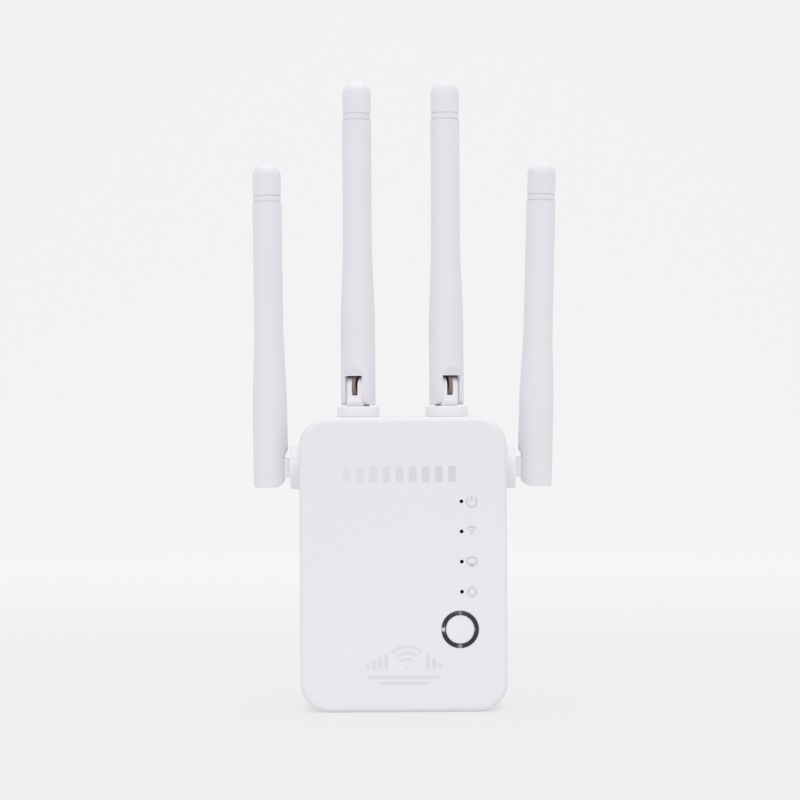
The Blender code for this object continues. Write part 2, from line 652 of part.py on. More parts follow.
def tube_profile():
    """The tube's outline from the tip down its outer side, then up its bore."""
    dome = TUBE_RADIUS - 0.12 * MM
    dome_base = TUBE_TIP - dome * 0.92
    points = []
    for i in range(5):
        angle = math.radians(90 - 22.5 * i)
        points.append((dome * math.cos(angle), dome_base + dome * 0.92 * math.sin(angle)))
    points[0] = (0.0, TUBE_TIP)
    groove_top = TUBE_TIP - TIP_LENGTH
    for i in range(2):
        top = groove_top - i * GROOVE_PITCH
        rim = dome if i == 0 else dome - 0.1 * MM
        floor = dome - GROOVE_DEPTH
        points += [(rim, top), (floor, top - 0.1 * MM), (floor, top - GROOVE_WIDTH)]
        points.append((rim - 0.1 * MM if i == 0 else TUBE_RADIUS, top - GROOVE_WIDTH - 0.1 * MM))
    steps = 5
    for i in range(steps + 1):
        height = TAPER_END + (SLEEVE_TOP + GAP - TAPER_END) * i / steps
        points.append((tube_radius(height), height))
    spigot = TUBE_BORE_RADIUS + 0.9 * MM
    bottom = SLEEVE_TOP - TUBE_SPIGOT_LENGTH
    bore_top = TUBE_TIP - 3.0 * MM
    points += [(spigot, SLEEVE_TOP + GAP), (spigot, bottom), (TUBE_BORE_RADIUS, bottom)]
    points += [(TUBE_BORE_RADIUS, SLEEVE_TOP + 4.0 * MM), (TUBE_INNER_RADIUS, TAPER_END)]
    points += [(TUBE_INNER_RADIUS, bore_top), (0.0, bore_top)]
    return points


def make_collar(name, hinge):
    """The fixed collar: a round block outside the wall, with a spigot through it."""
    face = -HINGE_STANDOFF
    wall_face = face - COLLAR_HEIGHT
    spigot_end = wall_face - WALL - COLLAR_SPIGOT_REACH
    bore = STEM_RADIUS + GAP
    profile = [
        (COLLAR_RADIUS - 0.4 * MM, face),
        (COLLAR_RADIUS, face - 0.4 * MM),
        (COLLAR_RADIUS, wall_face + GAP / 2),
        (COLLAR_SPIGOT_RADIUS, wall_face + GAP / 2),
        (COLLAR_SPIGOT_RADIUS, spigot_end),
        (bore, spigot_end),
        (bore, face),
    ]
    parent_to(hinge, add_turned(f"antenna_collar_{name}", profile, CASE_WHITE, closed=True))


def make_knuckle(name, hinge):
    """The swivelling knuckle: a stem through the collar, and a round-ended head with two trunnions."""
    stem_end = -HINGE_STANDOFF - COLLAR_HEIGHT - WALL - COLLAR_SPIGOT_REACH - GAP
    lip_end = stem_end - KNUCKLE_LIP_HEIGHT
    head_bottom = -HINGE_STANDOFF + GAP / 2
    stem_top = head_bottom + 0.07 * MM
    profile = [
        (0.0, stem_top),
        (STEM_RADIUS, stem_top),
        (STEM_RADIUS, stem_end),
        (KNUCKLE_LIP_RADIUS, stem_end),
        (STEM_RADIUS - 0.2 * MM, lip_end),
        (0.0, lip_end),
    ]
    knuckle = add_turned(f"antenna_knuckle_{name}", profile, ANTENNA_WHITE, steps=20)
    steps = 10
    outline = [(-KNUCKLE_RADIUS, head_bottom), (KNUCKLE_RADIUS, head_bottom)]
    for i in range(steps + 1):
        angle = math.pi * i / steps
        outline.append((KNUCKLE_RADIUS * math.cos(angle), KNUCKLE_RADIUS * math.sin(angle)))
    head = add_outline(f"head_{name}", outline, KNUCKLE_WIDTH / 2)
    pivot_start, pivot_end = (-TRUNNION_REACH, 0, 0), (TRUNNION_REACH, 0, 0)
    trunnions = add_cylinder(f"trunnions_{name}", TRUNNION_RADIUS, pivot_start, pivot_end)
    bore_start, bore_end = (0, 0, lip_end - OVERRUN), (0, 0, KNUCKLE_RADIUS + OVERRUN)
    bore = add_cylinder(f"cable_bore_{name}", CABLE_SLOT_WIDTH / 2, bore_start, bore_end)
    slot_low = (-CABLE_SLOT_WIDTH / 2, -KNUCKLE_RADIUS - OVERRUN, CABLE_SLOT_BOTTOM)
    slot_high = (CABLE_SLOT_WIDTH / 2, 0, KNUCKLE_RADIUS + OVERRUN)
    slot = add_box(f"cable_slot_{name}", slot_low, slot_high)
    join(knuckle, head, trunnions)
    cut(knuckle, bore, slot)
    parent_to(hinge, knuckle, head, trunnions, bore, slot)


def make_sleeve(name, fold):
    """The antenna's lower end: hollow, with a slot for the knuckle that is open below and to the front."""
    bore = TUBE_BORE_RADIUS + 0.9 * MM + GAP / 2
    bore_floor = SLEEVE_TOP - TUBE_SPIGOT_LENGTH - 0.5 * MM
    cavity_floor = WINDOW_TOP - 0.5 * MM
    profile = [
        (0.0, cavity_floor),
        (TUBE_BORE_RADIUS, cavity_floor),
        (TUBE_BORE_RADIUS, bore_floor),
        (bore, bore_floor),
        (bore, SLEEVE_TOP),
        (SLEEVE_RADIUS, SLEEVE_TOP),
        (SLEEVE_RADIUS, SLEEVE_BOTTOM),
        (0.0, SLEEVE_BOTTOM),
    ]
    sleeve = add_turned(f"hinge_sleeve_{name}", profile, ANTENNA_WHITE)
    half = SLOT_WIDTH / 2
    slot_low = (-half, -SLEEVE_RADIUS - OVERRUN, SLEEVE_BOTTOM - OVERRUN)
    slot = add_box(f"slot_{name}", slot_low, (half, SLOT_BACK, WINDOW_TOP))
    socket = TRUNNION_REACH + GAP
    socket_radius = TRUNNION_RADIUS + 0.15 * MM
    sockets = add_cylinder(f"trunnion_sockets_{name}", socket_radius, (-socket, 0, 0), (socket, 0, 0))
    front = add_window_trim(name)
    corner = add_corner_trim(name)
    cut(sleeve, slot, sockets, front, corner)
    parent_to(fold, sleeve, slot, sockets, front, corner)


def add_outline(name, outline, half_width):
    """A helper: an outline in (y, z), made as thick as the sleeve along X."""
    curve = bpy.data.curves.new(name, "CURVE")
    curve.dimensions = "2D"
    curve.fill_mode = "BOTH"
    curve.extrude = half_width
    spline = curve.splines.new("POLY")
    spline.points.add(len(outline) - 1)
    spline.use_cyclic_u = True
    for knot, (y, z) in zip(spline.points, outline):
        knot.co = (y, z, 0.0, 1.0)
    drawn = bpy.data.objects.new(name + "_drawn", curve)
    HELPERS.objects.link(drawn)
    bpy.context.view_layer.update()
    graph = bpy.context.evaluated_depsgraph_get()
    mesh = bpy.data.meshes.new_from_object(drawn.evaluated_get(graph))
    bm = bmesh.new()
    bm.from_mesh(mesh)
    bmesh.ops.remove_doubles(bm, verts=bm.verts, dist=1e-6)
    # The curve's X, Y and Z become the sleeve's Y, Z and X.
    turn = Matrix(((0, 0, 1, 0), (1, 0, 0, 0), (0, 1, 0, 0), (0, 0, 0, 1)))
    bmesh.ops.transform(bm, matrix=turn, verts=bm.verts)
    bmesh.ops.recalc_face_normals(bm, faces=bm.faces)
    bm.to_mesh(mesh)
    bm.free()
    bpy.data.objects.remove(drawn, do_unlink=True)
    return add_object(name, mesh)


def add_window_trim(name):
    """Flattens the sleeve's front round the window, with a slope above it."""
    far = -SLEEVE_RADIUS - OVERRUN
    low = SLEEVE_BOTTOM - OVERRUN
    outline = [
        (far, low),
        (-WINDOW_FLAT, low),
        (-WINDOW_FLAT, WINDOW_TOP),
        (-SLEEVE_RADIUS - 0.02 * MM, WINDOW_CHAMFER_TOP),
        (far, WINDOW_CHAMFER_TOP),
    ]
    return add_outline(f"window_trim_{name}", outline, SLEEVE_RADIUS + OVERRUN)


def add_corner_trim(name):
    """Rounds the fork's lower front corner about the hinge, so that it clears the collar as it folds."""
    radius = -SLEEVE_BOTTOM
    far = -SLEEVE_RADIUS - 2 * OVERRUN
    low = SLEEVE_BOTTOM - 2 * OVERRUN
    steps = 8
    arc = []
    for i in range(steps + 1):
        angle = math.radians(90 * i / steps)
        arc.append((-radius * math.sin(angle), -radius * math.cos(angle)))
    outline = [*arc, (far, 0.0), (far, low), (0.0, low)]
    return add_outline(f"corner_trim_{name}", outline, SLEEVE_RADIUS + OVERRUN)


def make_element(name, fold):
    """The brass aerial inside the tube: a sleeve, then a thin rod."""
    start, middle, end = 25.0 * MM, 52.0 * MM, 88.0 * MM
    profile = [
        (0.0, end),
        (0.6 * MM, end),
        (0.6 * MM, middle),
        (2.2 * MM, middle),
        (2.2 * MM, start),
        (0.0, start),
    ]
    element = add_turned(f"antenna_element_{name}", profile, BRASS, steps=12)
    coax_start, coax_end = (0, 0, COAX_BEND_ROOM), (0, 0, start - GAP)
    coax = add_cylinder(f"antenna_coax_{name}", COAX_RADIUS, coax_start, coax_end, COAX_BROWN, steps=10)
    parent_to(fold, element, coax)


def bezier(start, start_pull, end_pull, end, steps=14):
    """Points along one cubic curve."""
    points = []
    for i in range(steps + 1):
        t = i / steps
        s = 1 - t
        points.append(s**3 * start + 3 * s * s * t * start_pull + 3 * s * t * t * end_pull + t**3 * end)
    return points


def make_lead(name, place, side, hinge_point, out):
    """The coax from below the hinge, through the stem, to its pad near the main board's upper edge."""
    start = hinge_point - COAX_BEND_ROOM * out
    stem_end = hinge_point - (HINGE_STANDOFF + COLLAR_HEIGHT + WALL + COLLAR_SPIGOT_REACH + 2.5 * MM) * out
    pad_x, pad_z = (12.0 * MM, 78.0 * MM) if place == "top" else (21.5 * MM, 66.0 * MM)
    pad = Vector((side * pad_x, MAIN_BOARD_FRONT_Y + BOARD_THICKNESS + 1.4 * MM, pad_z))
    run = [start, *bezier(stem_end, stem_end - 6.0 * MM * out, pad + Vector((0, 5.0 * MM, 6.0 * MM)), pad)]
    add_tube(f"coax_lead_{name}", [tuple(point) for point in run], COAX_RADIUS, COAX_BROWN)


def make_antenna(name, place, side, swivel, folded):
    """One antenna on the case's top or side, at its hinge point, swivelled and folded as it stands."""
    foot, out = antenna_foot(place, side)
    base = Matrix.Identity(3)
    if place == "side":
        fold_way = Vector((0, 0, 1))
        base = Matrix(((-fold_way).cross(out), -fold_way, out)).transposed()
    hinge_point = foot + (COLLAR_HEIGHT + HINGE_STANDOFF) * out
    hinge = bpy.data.objects.new(f"hinge_{name}", None)
    fold = bpy.data.objects.new(f"fold_{name}", None)
    for empty in (hinge, fold):
        HELPERS.objects.link(empty)
    turn = base.to_4x4() @ Matrix.Rotation(math.radians(swivel), 4, "Z")
    hinge.matrix_world = Matrix.Translation(hinge_point) @ turn
    fold.parent = hinge
    fold.rotation_euler = (math.radians(folded), 0, 0)
    make_collar(name, hinge)
    make_knuckle(name, hinge)
    make_sleeve(name, fold)
    parent_to(fold, add_turned(f"antenna_tube_{name}", tube_profile(), ANTENNA_WHITE))
    make_element(name, fold)
    make_lead(name, place, side, hinge_point, out)


def main():
    make_front_cover()
    make_back_cover()
    make_button()
    make_leds()
    make_boards()
    make_sockets()
    make_plug()
    make_screws()
    for antenna in ANTENNAS:
        make_antenna(*antenna)


main()
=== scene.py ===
"""The looks of a plug-in wireless range extender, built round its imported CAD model.

Frame: +Z up, -Y is the front face, metres. Each detailed piece rides on its CAD body.
"""

import json
import math

import bmesh
import bpy
from mathutils import Matrix, Vector


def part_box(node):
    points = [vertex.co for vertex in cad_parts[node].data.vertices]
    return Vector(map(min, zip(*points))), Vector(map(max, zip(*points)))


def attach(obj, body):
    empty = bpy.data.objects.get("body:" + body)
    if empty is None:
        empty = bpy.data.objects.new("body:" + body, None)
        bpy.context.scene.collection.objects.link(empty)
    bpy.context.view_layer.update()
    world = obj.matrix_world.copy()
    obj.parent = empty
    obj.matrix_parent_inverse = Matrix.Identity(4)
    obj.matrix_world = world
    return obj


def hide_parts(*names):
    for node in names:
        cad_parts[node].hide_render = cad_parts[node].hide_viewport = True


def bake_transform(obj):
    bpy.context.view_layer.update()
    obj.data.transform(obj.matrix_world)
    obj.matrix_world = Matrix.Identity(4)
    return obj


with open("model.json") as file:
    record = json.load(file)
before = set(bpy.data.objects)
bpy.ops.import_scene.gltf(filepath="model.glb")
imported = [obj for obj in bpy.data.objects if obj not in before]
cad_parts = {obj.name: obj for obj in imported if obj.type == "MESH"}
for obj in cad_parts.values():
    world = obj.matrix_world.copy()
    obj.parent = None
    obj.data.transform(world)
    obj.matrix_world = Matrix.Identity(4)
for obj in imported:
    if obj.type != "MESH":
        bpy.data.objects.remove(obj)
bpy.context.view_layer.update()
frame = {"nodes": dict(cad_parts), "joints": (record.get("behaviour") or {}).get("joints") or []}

MM = 0.001

# ---- places read from the frame
FRONT_LOW, FRONT_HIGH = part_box("front_cover")
BACK_LOW, BACK_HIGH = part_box("rear_cover")
CASE_WIDTH = FRONT_HIGH.x - FRONT_LOW.x
CASE_HEIGHT = FRONT_HIGH.z - FRONT_LOW.z
FRONT_Y = FRONT_LOW.y
BACK_Y = BACK_HIGH.y
PARTING_Y = BACK_LOW.y
JOINTS = {joint["name"]: joint for joint in frame["joints"]}
ANTENNA_NAMES = [name[len("swivel_") :] for name in JOINTS if name.startswith("swivel_")]

# ---- shapes: most sizes are the CAD's own, and some come closer to the photograph
GAP = 0.3 * MM
WALL = 1.8 * MM
CORNER_RADIUS = 10.3 * MM
FRONT_EDGE_RADIUS = 2.0 * MM
BACK_EDGE_RADIUS = 3.2 * MM
LIP_THICKNESS = 0.9 * MM
LIP_REACH = 2.0 * MM
LIP_ROOT = 3.0 * MM
OVERRUN = 1.0 * MM

LED_NODES = ("led_power", "led_wireless", "led_network", "led_pairing")
SOCKET_NODES = ("ethernet_socket_left", "ethernet_socket_right")
SCREW_NODES = sorted(node for node in frame["nodes"] if node.startswith("case_screw_"))
LED_HOLE_RADIUS = 0.66 * MM
RING_OUTER_RADIUS = 6.5 * MM
RING_HOLE_RADIUS = 6.0 * MM
RING_INNER_RADIUS = 5.1 * MM
RING_SLOPE = math.radians(11.5)
BUTTON_RADIUS = 5.02 * MM

HINGE_STANDOFF = 7.0 * MM
COLLAR_HEIGHT = 3.7 * MM
COLLAR_RADIUS = 7.5 * MM
COLLAR_SPIGOT_RADIUS = 5.3 * MM
COLLAR_SPIGOT_REACH = 1.2 * MM
STEM_RADIUS = 3.2 * MM
KNUCKLE_RADIUS = 3.55 * MM
KNUCKLE_WIDTH = 6.3 * MM
KNUCKLE_BROW = 3.85 * MM
BROW_HEIGHT = -5.3 * MM
KNUCKLE_NECK = 3.15 * MM
KNUCKLE_LIP_RADIUS = 4.2 * MM
KNUCKLE_LIP_HEIGHT = 1.4 * MM
TRUNNION_RADIUS = 1.2 * MM
TRUNNION_REACH = 4.1 * MM
CABLE_SLOT_WIDTH = 2.2 * MM
CABLE_SLOT_BOTTOM = -3.2 * MM
SLEEVE_RADIUS = 6.1 * MM
SLEEVE_BOTTOM = -6.58 * MM
SLEEVE_TOP = 19.5 * MM
SEAM = 0.015 * MM
EAR_RADIUS = 3.2 * MM
SLOT_WIDTH = 6.4 * MM
SLOT_BACK = 3.6 * MM
WINDOW_TOP = 3.7 * MM
WINDOW_CHAMFER_BOTTOM = 4.2 * MM
WINDOW_CHAMFER_TOP = 6.6 * MM
WINDOW_FLAT = 4.77 * MM
TUBE_RADIUS = 5.12 * MM
TUBE_TIP = 108.0 * MM
TAPER_END = 52.0 * MM
TUBE_BORE_RADIUS = 3.9 * MM
TUBE_INNER_RADIUS = 3.4 * MM
TUBE_SPIGOT_LENGTH = 4.0 * MM
TIP_LENGTH = 11.5 * MM
GROOVE_WIDTH = 0.5 * MM
GROOVE_DEPTH = 0.4 * MM
GROOVE_PITCH = 2.1 * MM
COAX_RADIUS = 0.68 * MM
TOP_PAD = (12.0 * MM, 78.0 * MM)
SIDE_PAD = (21.5 * MM, 66.0 * MM)

BOSS_RADIUS = 3.1 * MM
PILOT_RADIUS = 1.25 * MM
CLEARANCE_RADIUS = 1.5 * MM
WELL_RADIUS = 2.6 * MM
SCREW_SEAT_Y = 2.0 * MM
SCREW_HEAD_RADIUS = 2.2 * MM
SCREW_SHANK_RADIUS = 1.05 * MM

SOCKET_MOUTH_WIDTH = 11.8 * MM
SOCKET_MOUTH_DEPTH = 6.9 * MM
SOCKET_MOUTH_LENGTH = 14.0 * MM
SOCKET_MOUTH_SETBACK = 2.4 * MM
LATCH_WIDTHS = (6.4 * MM, 3.4 * MM)
LATCH_DEPTH = 1.3 * MM
CONTACT_PITCH = 1.02 * MM
CONTACT_RADIUS = 0.2 * MM

NECK_WIDTH = 35.3 * MM
NECK_HEIGHT = 13.7 * MM
NECK_CHAMFER = 4.6 * MM
NECK_CORNER = 0.8 * MM
FLANGE_MARGIN = 2.0 * MM
FLANGE_THICKNESS = 1.5 * MM
PIN_RADIUS = 2.0 * MM
PIN_NECK_RADIUS = 1.4 * MM
PIN_TAIL_RADIUS = 0.9 * MM
PIN_SLEEVE_RADIUS = 1.9 * MM
PIN_FIT_GAP = 0.2 * MM

VENT_WIDTH = 1.6 * MM
VENT_HEIGHT = 11.0 * MM
VENT_PITCH = 4.2 * MM
VENT_ZS = (86.0 * MM, 34.0 * MM)

# ---- print
ICON_OFFSET = 3.5 * MM
ICON_LINE = 0.68 * MM
INK_HEIGHT = 0.02 * MM
ROW_Z = 82.4 * MM
ROW_BLOCKS = 9
ROW_START, ROW_END = -19.4 * MM, 17.0 * MM
SIGN_X = 1.1 * MM

# ---- camera and light
CAMERA_PLACE = (-0.00085, -0.7835, 0.1081)
CAMERA_ROLL = 0.35
WORLD_STRENGTH = 0.90
FRONT_POWER = 5.5
TOP_POWER = 9.5
LOW_POWER = 0.016
BACK_POWER = 7.0
GLINT_RADIANCE = 14.0
GLINT_LENGTH = 26.0
FLOOR_GLOW = 0.662
# painted contact shadow: within this reach of what stands on the floor, its glow drops towards this level
PAINTED_SHADOW_GLOW = 0.52
PAINTED_SHADOW_REACH = 12.0 * MM

# ---- fineness
FINE = 96
MEDIUM = 48
CORNER_STEPS = 20
SMOOTH_ANGLE = 32.0
SOFTEN_ANGLE = 40.0


# ---- materials
class Shader:
    """One Principled material with short calls for the nodes that vary it."""

    def __init__(self, name, colour, roughness, metallic=0.0, **constants):
        self.material = bpy.data.materials.new(name)
        self.material.use_nodes = True
        self.tree = self.material.node_tree
        self.principled = self.tree.nodes["Principled BSDF"]
        self.colour = colour
        self.set("Base Color", (*colour, 1.0))
        self.set("Roughness", roughness)
        self.set("Metallic", metallic)
        for socket, value in constants.items():
            self.set(socket.replace("_", " "), value)
        self.place = self.node("ShaderNodeTexCoord").outputs["Object"]

    def set(self, socket, value):
        self.principled.inputs[socket].default_value = value

    def node(self, kind, inputs=(), **properties):
        made = self.tree.nodes.new(kind)
        for key, value in properties.items():
            setattr(made, key, value)
        for key, value in dict(inputs).items():
            made.inputs[key].default_value = value
        return made

    def link(self, output, target):
        self.tree.links.new(output, target)

    def noise(self, scale, detail=4.0, stretch=None):
        texture = self.node("ShaderNodeTexNoise", {"Scale": scale, "Detail": detail, "Roughness": 0.55})
        place = self.place
        if stretch:
            mapping = self.node("ShaderNodeMapping", {"Scale": stretch})
            self.link(self.place, mapping.inputs["Vector"])
            place = mapping.outputs["Vector"]
        self.link(place, texture.inputs["Vector"])
        return texture.outputs["Fac"]

    def remap(self, value, low, high, from_low=0.3, from_high=0.7):
        """The value's middle spread, stretched to run from low to high."""
        ends = {"From Min": from_low, "From Max": from_high, "To Min": low, "To Max": high}
        remap = self.node("ShaderNodeMapRange", ends)
        self.link(value, remap.inputs["Value"])
        return remap.outputs["Result"]

    def mottle(self, value, spread, warm=0.0):
        """Lets the colour drift a little with the value: darker, and warmer by warm."""
        darker = [channel * (1 - spread) for channel in self.colour]
        darker[2] *= 1 - warm
        return self.two_tone(self.remap(value, 0.0, 1.0), darker)

    def two_tone(self, factor, other):
        """Mixes the material's colour with another one by a factor."""
        ends = {"A": (*self.colour, 1.0), "B": (*other, 1.0)}
        mix = self.node("ShaderNodeMix", ends, data_type="RGBA")
        self.link(factor, mix.inputs["Factor"])
        self.link(mix.outputs["Result"], self.principled.inputs["Base Color"])
        return self

    def rough(self, value, low, high):
        self.link(self.remap(value, low, high), self.principled.inputs["Roughness"])
        return self

    def bump(self, *layers):
        """Layers of (value, depth in metres), each on top of the last."""
        normal = None
        for value, depth in layers:
            bump = self.node("ShaderNodeBump", {"Strength": 1.0, "Distance": depth})
            self.link(value, bump.inputs["Height"])
            if normal:
                self.link(normal, bump.inputs["Normal"])
            normal = bump.outputs["Normal"]
        self.link(normal, self.principled.inputs["Normal"])
        return self


def moulded_plastic(name, colour, roughness, grain, grain_depth, spread=0.02, **constants):
    """Injection-moulded plastic: slow drift in tone, a fine moulded grain and a faint ripple."""
    shader = Shader(name, colour, roughness, **constants)
    drift = shader.noise(28.0, detail=3.0)
    fine = shader.noise(grain, detail=2.0)
    ripple = shader.noise(90.0, detail=1.0)
    shader.mottle(drift, spread, warm=0.01)
    shader.rough(shader.noise(160.0), roughness * 0.88, roughness * 1.14)
    return shader.bump((ripple, 0.02 * MM), (fine, grain_depth)).material


def brushed_metal(name, colour, roughness, stretch, spread=0.12, depth=0.004 * MM):
    """Metal with drawn or turned streaks along the axis that stretch leaves short."""
    shader = Shader(name, colour, roughness, metallic=1.0)
    streaks = shader.noise(900.0, detail=3.0, stretch=stretch)
    cloud = shader.noise(120.0)
    shader.mottle(cloud, spread, warm=0.03)
    shader.rough(streaks, roughness * 0.7, roughness * 1.4)
    return shader.bump((streaks, depth)).material


def board_laminate():
    """Solder mask over copper: broad tracks, a fine cloth weave and a soft gloss."""
    shader = Shader("board_green_mask", (0.020, 0.135, 0.055), 0.32, Coat_Weight=0.4, Coat_Roughness=0.15)
    tracks = shader.node("ShaderNodeTexBrick", {"Scale": 170.0, "Mortar Size": 0.012})
    for socket, grey in (("Color1", 0.0), ("Color2", 0.35), ("Mortar", 1.0)):
        tracks.inputs[socket].default_value = (grey, grey, grey, 1.0)
    swap = shader.node("ShaderNodeSeparateXYZ")
    join = shader.node("ShaderNodeCombineXYZ")
    shader.link(shader.place, swap.inputs["Vector"])
    shader.link(swap.outputs["X"], join.inputs["X"])
    shader.link(swap.outputs["Z"], join.inputs["Y"])
    shader.link(join.outputs["Vector"], tracks.inputs["Vector"])
    shader.two_tone(tracks.outputs["Color"], (0.045, 0.24, 0.085))
    return shader.bump((tracks.outputs["Fac"], 0.03 * MM), (shader.noise(2600.0), 0.004 * MM)).material


def cable_jacket():
    """A thin translucent brown jacket with the braid under it showing as fine crossed lines."""
    shader = Shader("coax_jacket", (0.30, 0.205, 0.205), 0.38, Coat_Weight=0.35, Coat_Roughness=0.2)
    braid = shader.node("ShaderNodeTexVoronoi", {"Scale": 3800.0}, feature="F1")
    shader.link(shader.place, braid.inputs["Vector"])
    distance = braid.outputs["Distance"]
    shader.two_tone(shader.remap(distance, 0.0, 0.55, 0.0, 0.8), (0.17, 0.11, 0.11))
    return shader.bump((distance, 0.02 * MM), (shader.noise(400.0), 0.02 * MM)).material


def insulating_tape():
    """Tape round the transformer, with the edges of its turns."""
    shader = Shader("insulating_tape", (0.72, 0.52, 0.08), 0.42, Coat_Weight=0.3)
    wraps = shader.node("ShaderNodeTexWave", {"Scale": 260.0, "Distortion": 1.2}, bands_direction="Z")
    shader.link(shader.place, wraps.inputs["Vector"])
    shader.mottle(shader.noise(240.0), 0.12)
    return shader.bump((wraps.outputs["Fac"], 0.03 * MM)).material


def printed_grey(name, colour):
    """Pad-printed ink: slightly uneven cover and a dry surface."""
    shader = Shader(name, colour, 0.5)
    shader.mottle(shader.noise(1500.0), 0.05)
    return shader.bump((shader.noise(4000.0), 0.002 * MM)).material


def foil_ink():
    """Pale foil ink for the row of blocks, with painted shade that makes it darker towards the right."""
    shader = Shader("row_ink_painted_shade", (0.715, 0.718, 0.752), 0.45)
    axes = shader.node("ShaderNodeSeparateXYZ")
    shader.link(shader.place, axes.inputs["Vector"])
    # painted shade: the ink's colour darkens from left to right along the row
    cover = shader.remap(axes.outputs["X"], 0.0, 1.0, ROW_START, ROW_END)
    shader.two_tone(cover, (0.640, 0.643, 0.672))
    return shader.bump((shader.noise(4000.0), 0.002 * MM)).material


def floor_paper():
    """Paper with an even glow of its own, dimmed into a painted contact shadow right under what stands on it.
    """
    shader = Shader("studio_floor", (0.15, 0.15, 0.149), 0.75)
    shader.mottle(shader.noise(3.0), 0.006)
    shader.set("Specular IOR Level", 0.15)
    shader.set("Emission Color", (1.0, 1.0, 1.0, 1.0))
    # painted contact shadow: ambient occlusion dims the floor's glow under and beside what stands on it
    contact = shader.node("ShaderNodeAmbientOcclusion", {"Distance": PAINTED_SHADOW_REACH}, samples=8)
    glow = shader.remap(contact.outputs["AO"], PAINTED_SHADOW_GLOW, FLOOR_GLOW, 0.0, 0.5)
    shader.link(glow, shader.principled.inputs["Emission Strength"])
    return shader.material


COVER_WHITE = moulded_plastic(
    "cover_gloss_white", (0.776, 0.769, 0.818), 0.22, 900.0, 0.0012 * MM, 0.012, Coat_Weight=0.15
)
CASE_WHITE = moulded_plastic("case_satin_white", (0.765, 0.760, 0.803), 0.42, 1500.0, 0.010 * MM, 0.015)
ANTENNA_WHITE = moulded_plastic("antenna_satin_white", (0.775, 0.754, 0.808), 0.40, 1300.0, 0.006 * MM, 0.015)
# painted light: the knuckles and collars take lighter copies of the white plastic, which lift the shade they
# sit in between sleeve, collar and case
KNUCKLE_WHITE_PAINTED_LIGHT = moulded_plastic("knuckle_white_painted_light", (0.890, 0.880, 0.910), 0.36, 1300.0, 0.005 * MM, 0.02)
COLLAR_WHITE_PAINTED_LIGHT = moulded_plastic("collar_white_painted_light", (0.880, 0.874, 0.910), 0.30, 1500.0, 0.005 * MM, 0.015)
BUTTON_WHITE = moulded_plastic("button_white", (0.778, 0.778, 0.826), 0.25, 1000.0, 0.0015 * MM, 0.012)
BLACK_PLASTIC = moulded_plastic("black_plastic_grained", (0.018, 0.018, 0.019), 0.5, 1500.0, 0.02 * MM, 0.25)
LENS_CLEAR = moulded_plastic("led_lens", (0.55, 0.60, 0.52), 0.2, 700.0, 0.002 * MM, 0.05)
# painted shade: a near-black disc, darker than the black plastic and with little reflection, put down each
# LED hole
LED_HOLE_SHADE_BLACK = moulded_plastic(
    "led_hole_painted_shade", (0.0012, 0.0012, 0.0013), 0.45, 900.0, 0.001 * MM, 0.3, Specular_IOR_Level=0.1
)
PIN_NICKEL = brushed_metal("plug_pin_nickel", (0.66, 0.64, 0.60), 0.24, (1.0, 0.06, 1.0), 0.08)
SCREW_STEEL = brushed_metal("screw_zinc", (0.52, 0.53, 0.55), 0.34, (1.0, 0.2, 1.0), 0.15)
SHELL_STEEL = brushed_metal("socket_shell_steel", (0.60, 0.60, 0.61), 0.30, (0.1, 1.0, 1.0), 0.10)
CAN_ALUMINIUM = brushed_metal("capacitor_can", (0.72, 0.73, 0.75), 0.32, (1.0, 0.1, 1.0), 0.06)
ELEMENT_BRASS = brushed_metal("element_brass", (0.70, 0.50, 0.22), 0.28, (1.0, 1.0, 0.08), 0.18)
CONTACT_GOLD = brushed_metal("contact_gold", (0.95, 0.66, 0.25), 0.22, (1.0, 0.2, 1.0), 0.08)
RING_CHROME = brushed_metal(
    "ring_dark_chrome", (0.055, 0.059, 0.064), 0.12, (1.0, 1.0, 1.0), 0.10, 0.001 * MM
)
CHIP_RESIN = moulded_plastic("chip_resin", (0.022, 0.022, 0.024), 0.62, 2600.0, 0.01 * MM, 0.2)
BOARD_GREEN = board_laminate()
COAX_JACKET = cable_jacket()
TAPE_YELLOW = insulating_tape()
ICON_INK = printed_grey("icon_ink", (0.600, 0.610, 0.634))
ROW_INK_PAINTED_SHADE = foil_ink()
MARK_INK = printed_grey("sign_ink", (0.692, 0.702, 0.728))


# ---- mesh tools
def turns(start, end, steps):
    """Evenly spaced angles in radians between two in degrees."""
    return [math.radians(start + (end - start) * i / steps) for i in range(steps + 1)]


def arc(x, z, radius, start, end, steps):
    """Points round part of a circle, between two angles in degrees."""
    return [(x + radius * math.cos(turn), z + radius * math.sin(turn)) for turn in turns(start, end, steps)]


def add_to_scene(name, data):
    obj = bpy.data.objects.new(name, data)
    bpy.context.scene.collection.objects.link(obj)
    return obj


def new_object(name, mesh, material):
    mesh.materials.append(material)
    return add_to_scene(name, mesh)


def to_mesh(bm, name):
    bmesh.ops.recalc_face_normals(bm, faces=bm.faces)
    mesh = bpy.data.meshes.new(name)
    bm.to_mesh(mesh)
    bm.free()
    return mesh


def turned_mesh(name, profile, steps=FINE, closed=False):
    """Turns a profile of (radius, height) about Z. Radius 0 is a single point on the axis."""
    bm = bmesh.new()
    rings = []
    for radius, height in profile:
        around = [2 * math.pi / steps * i for i in range(steps)] if radius else [0.0]
        rings.append([bm.verts.new((radius * math.cos(a), radius * math.sin(a), height)) for a in around])
    pairs = list(zip(rings, rings[1:]))
    if closed:
        pairs.append((rings[-1], rings[0]))
    for first, second in pairs:
        for i in range(steps):
            j = (i + 1) % steps
            corners = [ring[k % len(ring)] for ring, k in ((first, i), (first, j), (second, j), (second, i))]
            distinct = list(dict.fromkeys(corners))
            if len(distinct) > 2:
                bm.faces.new(distinct)
    return to_mesh(bm, name)


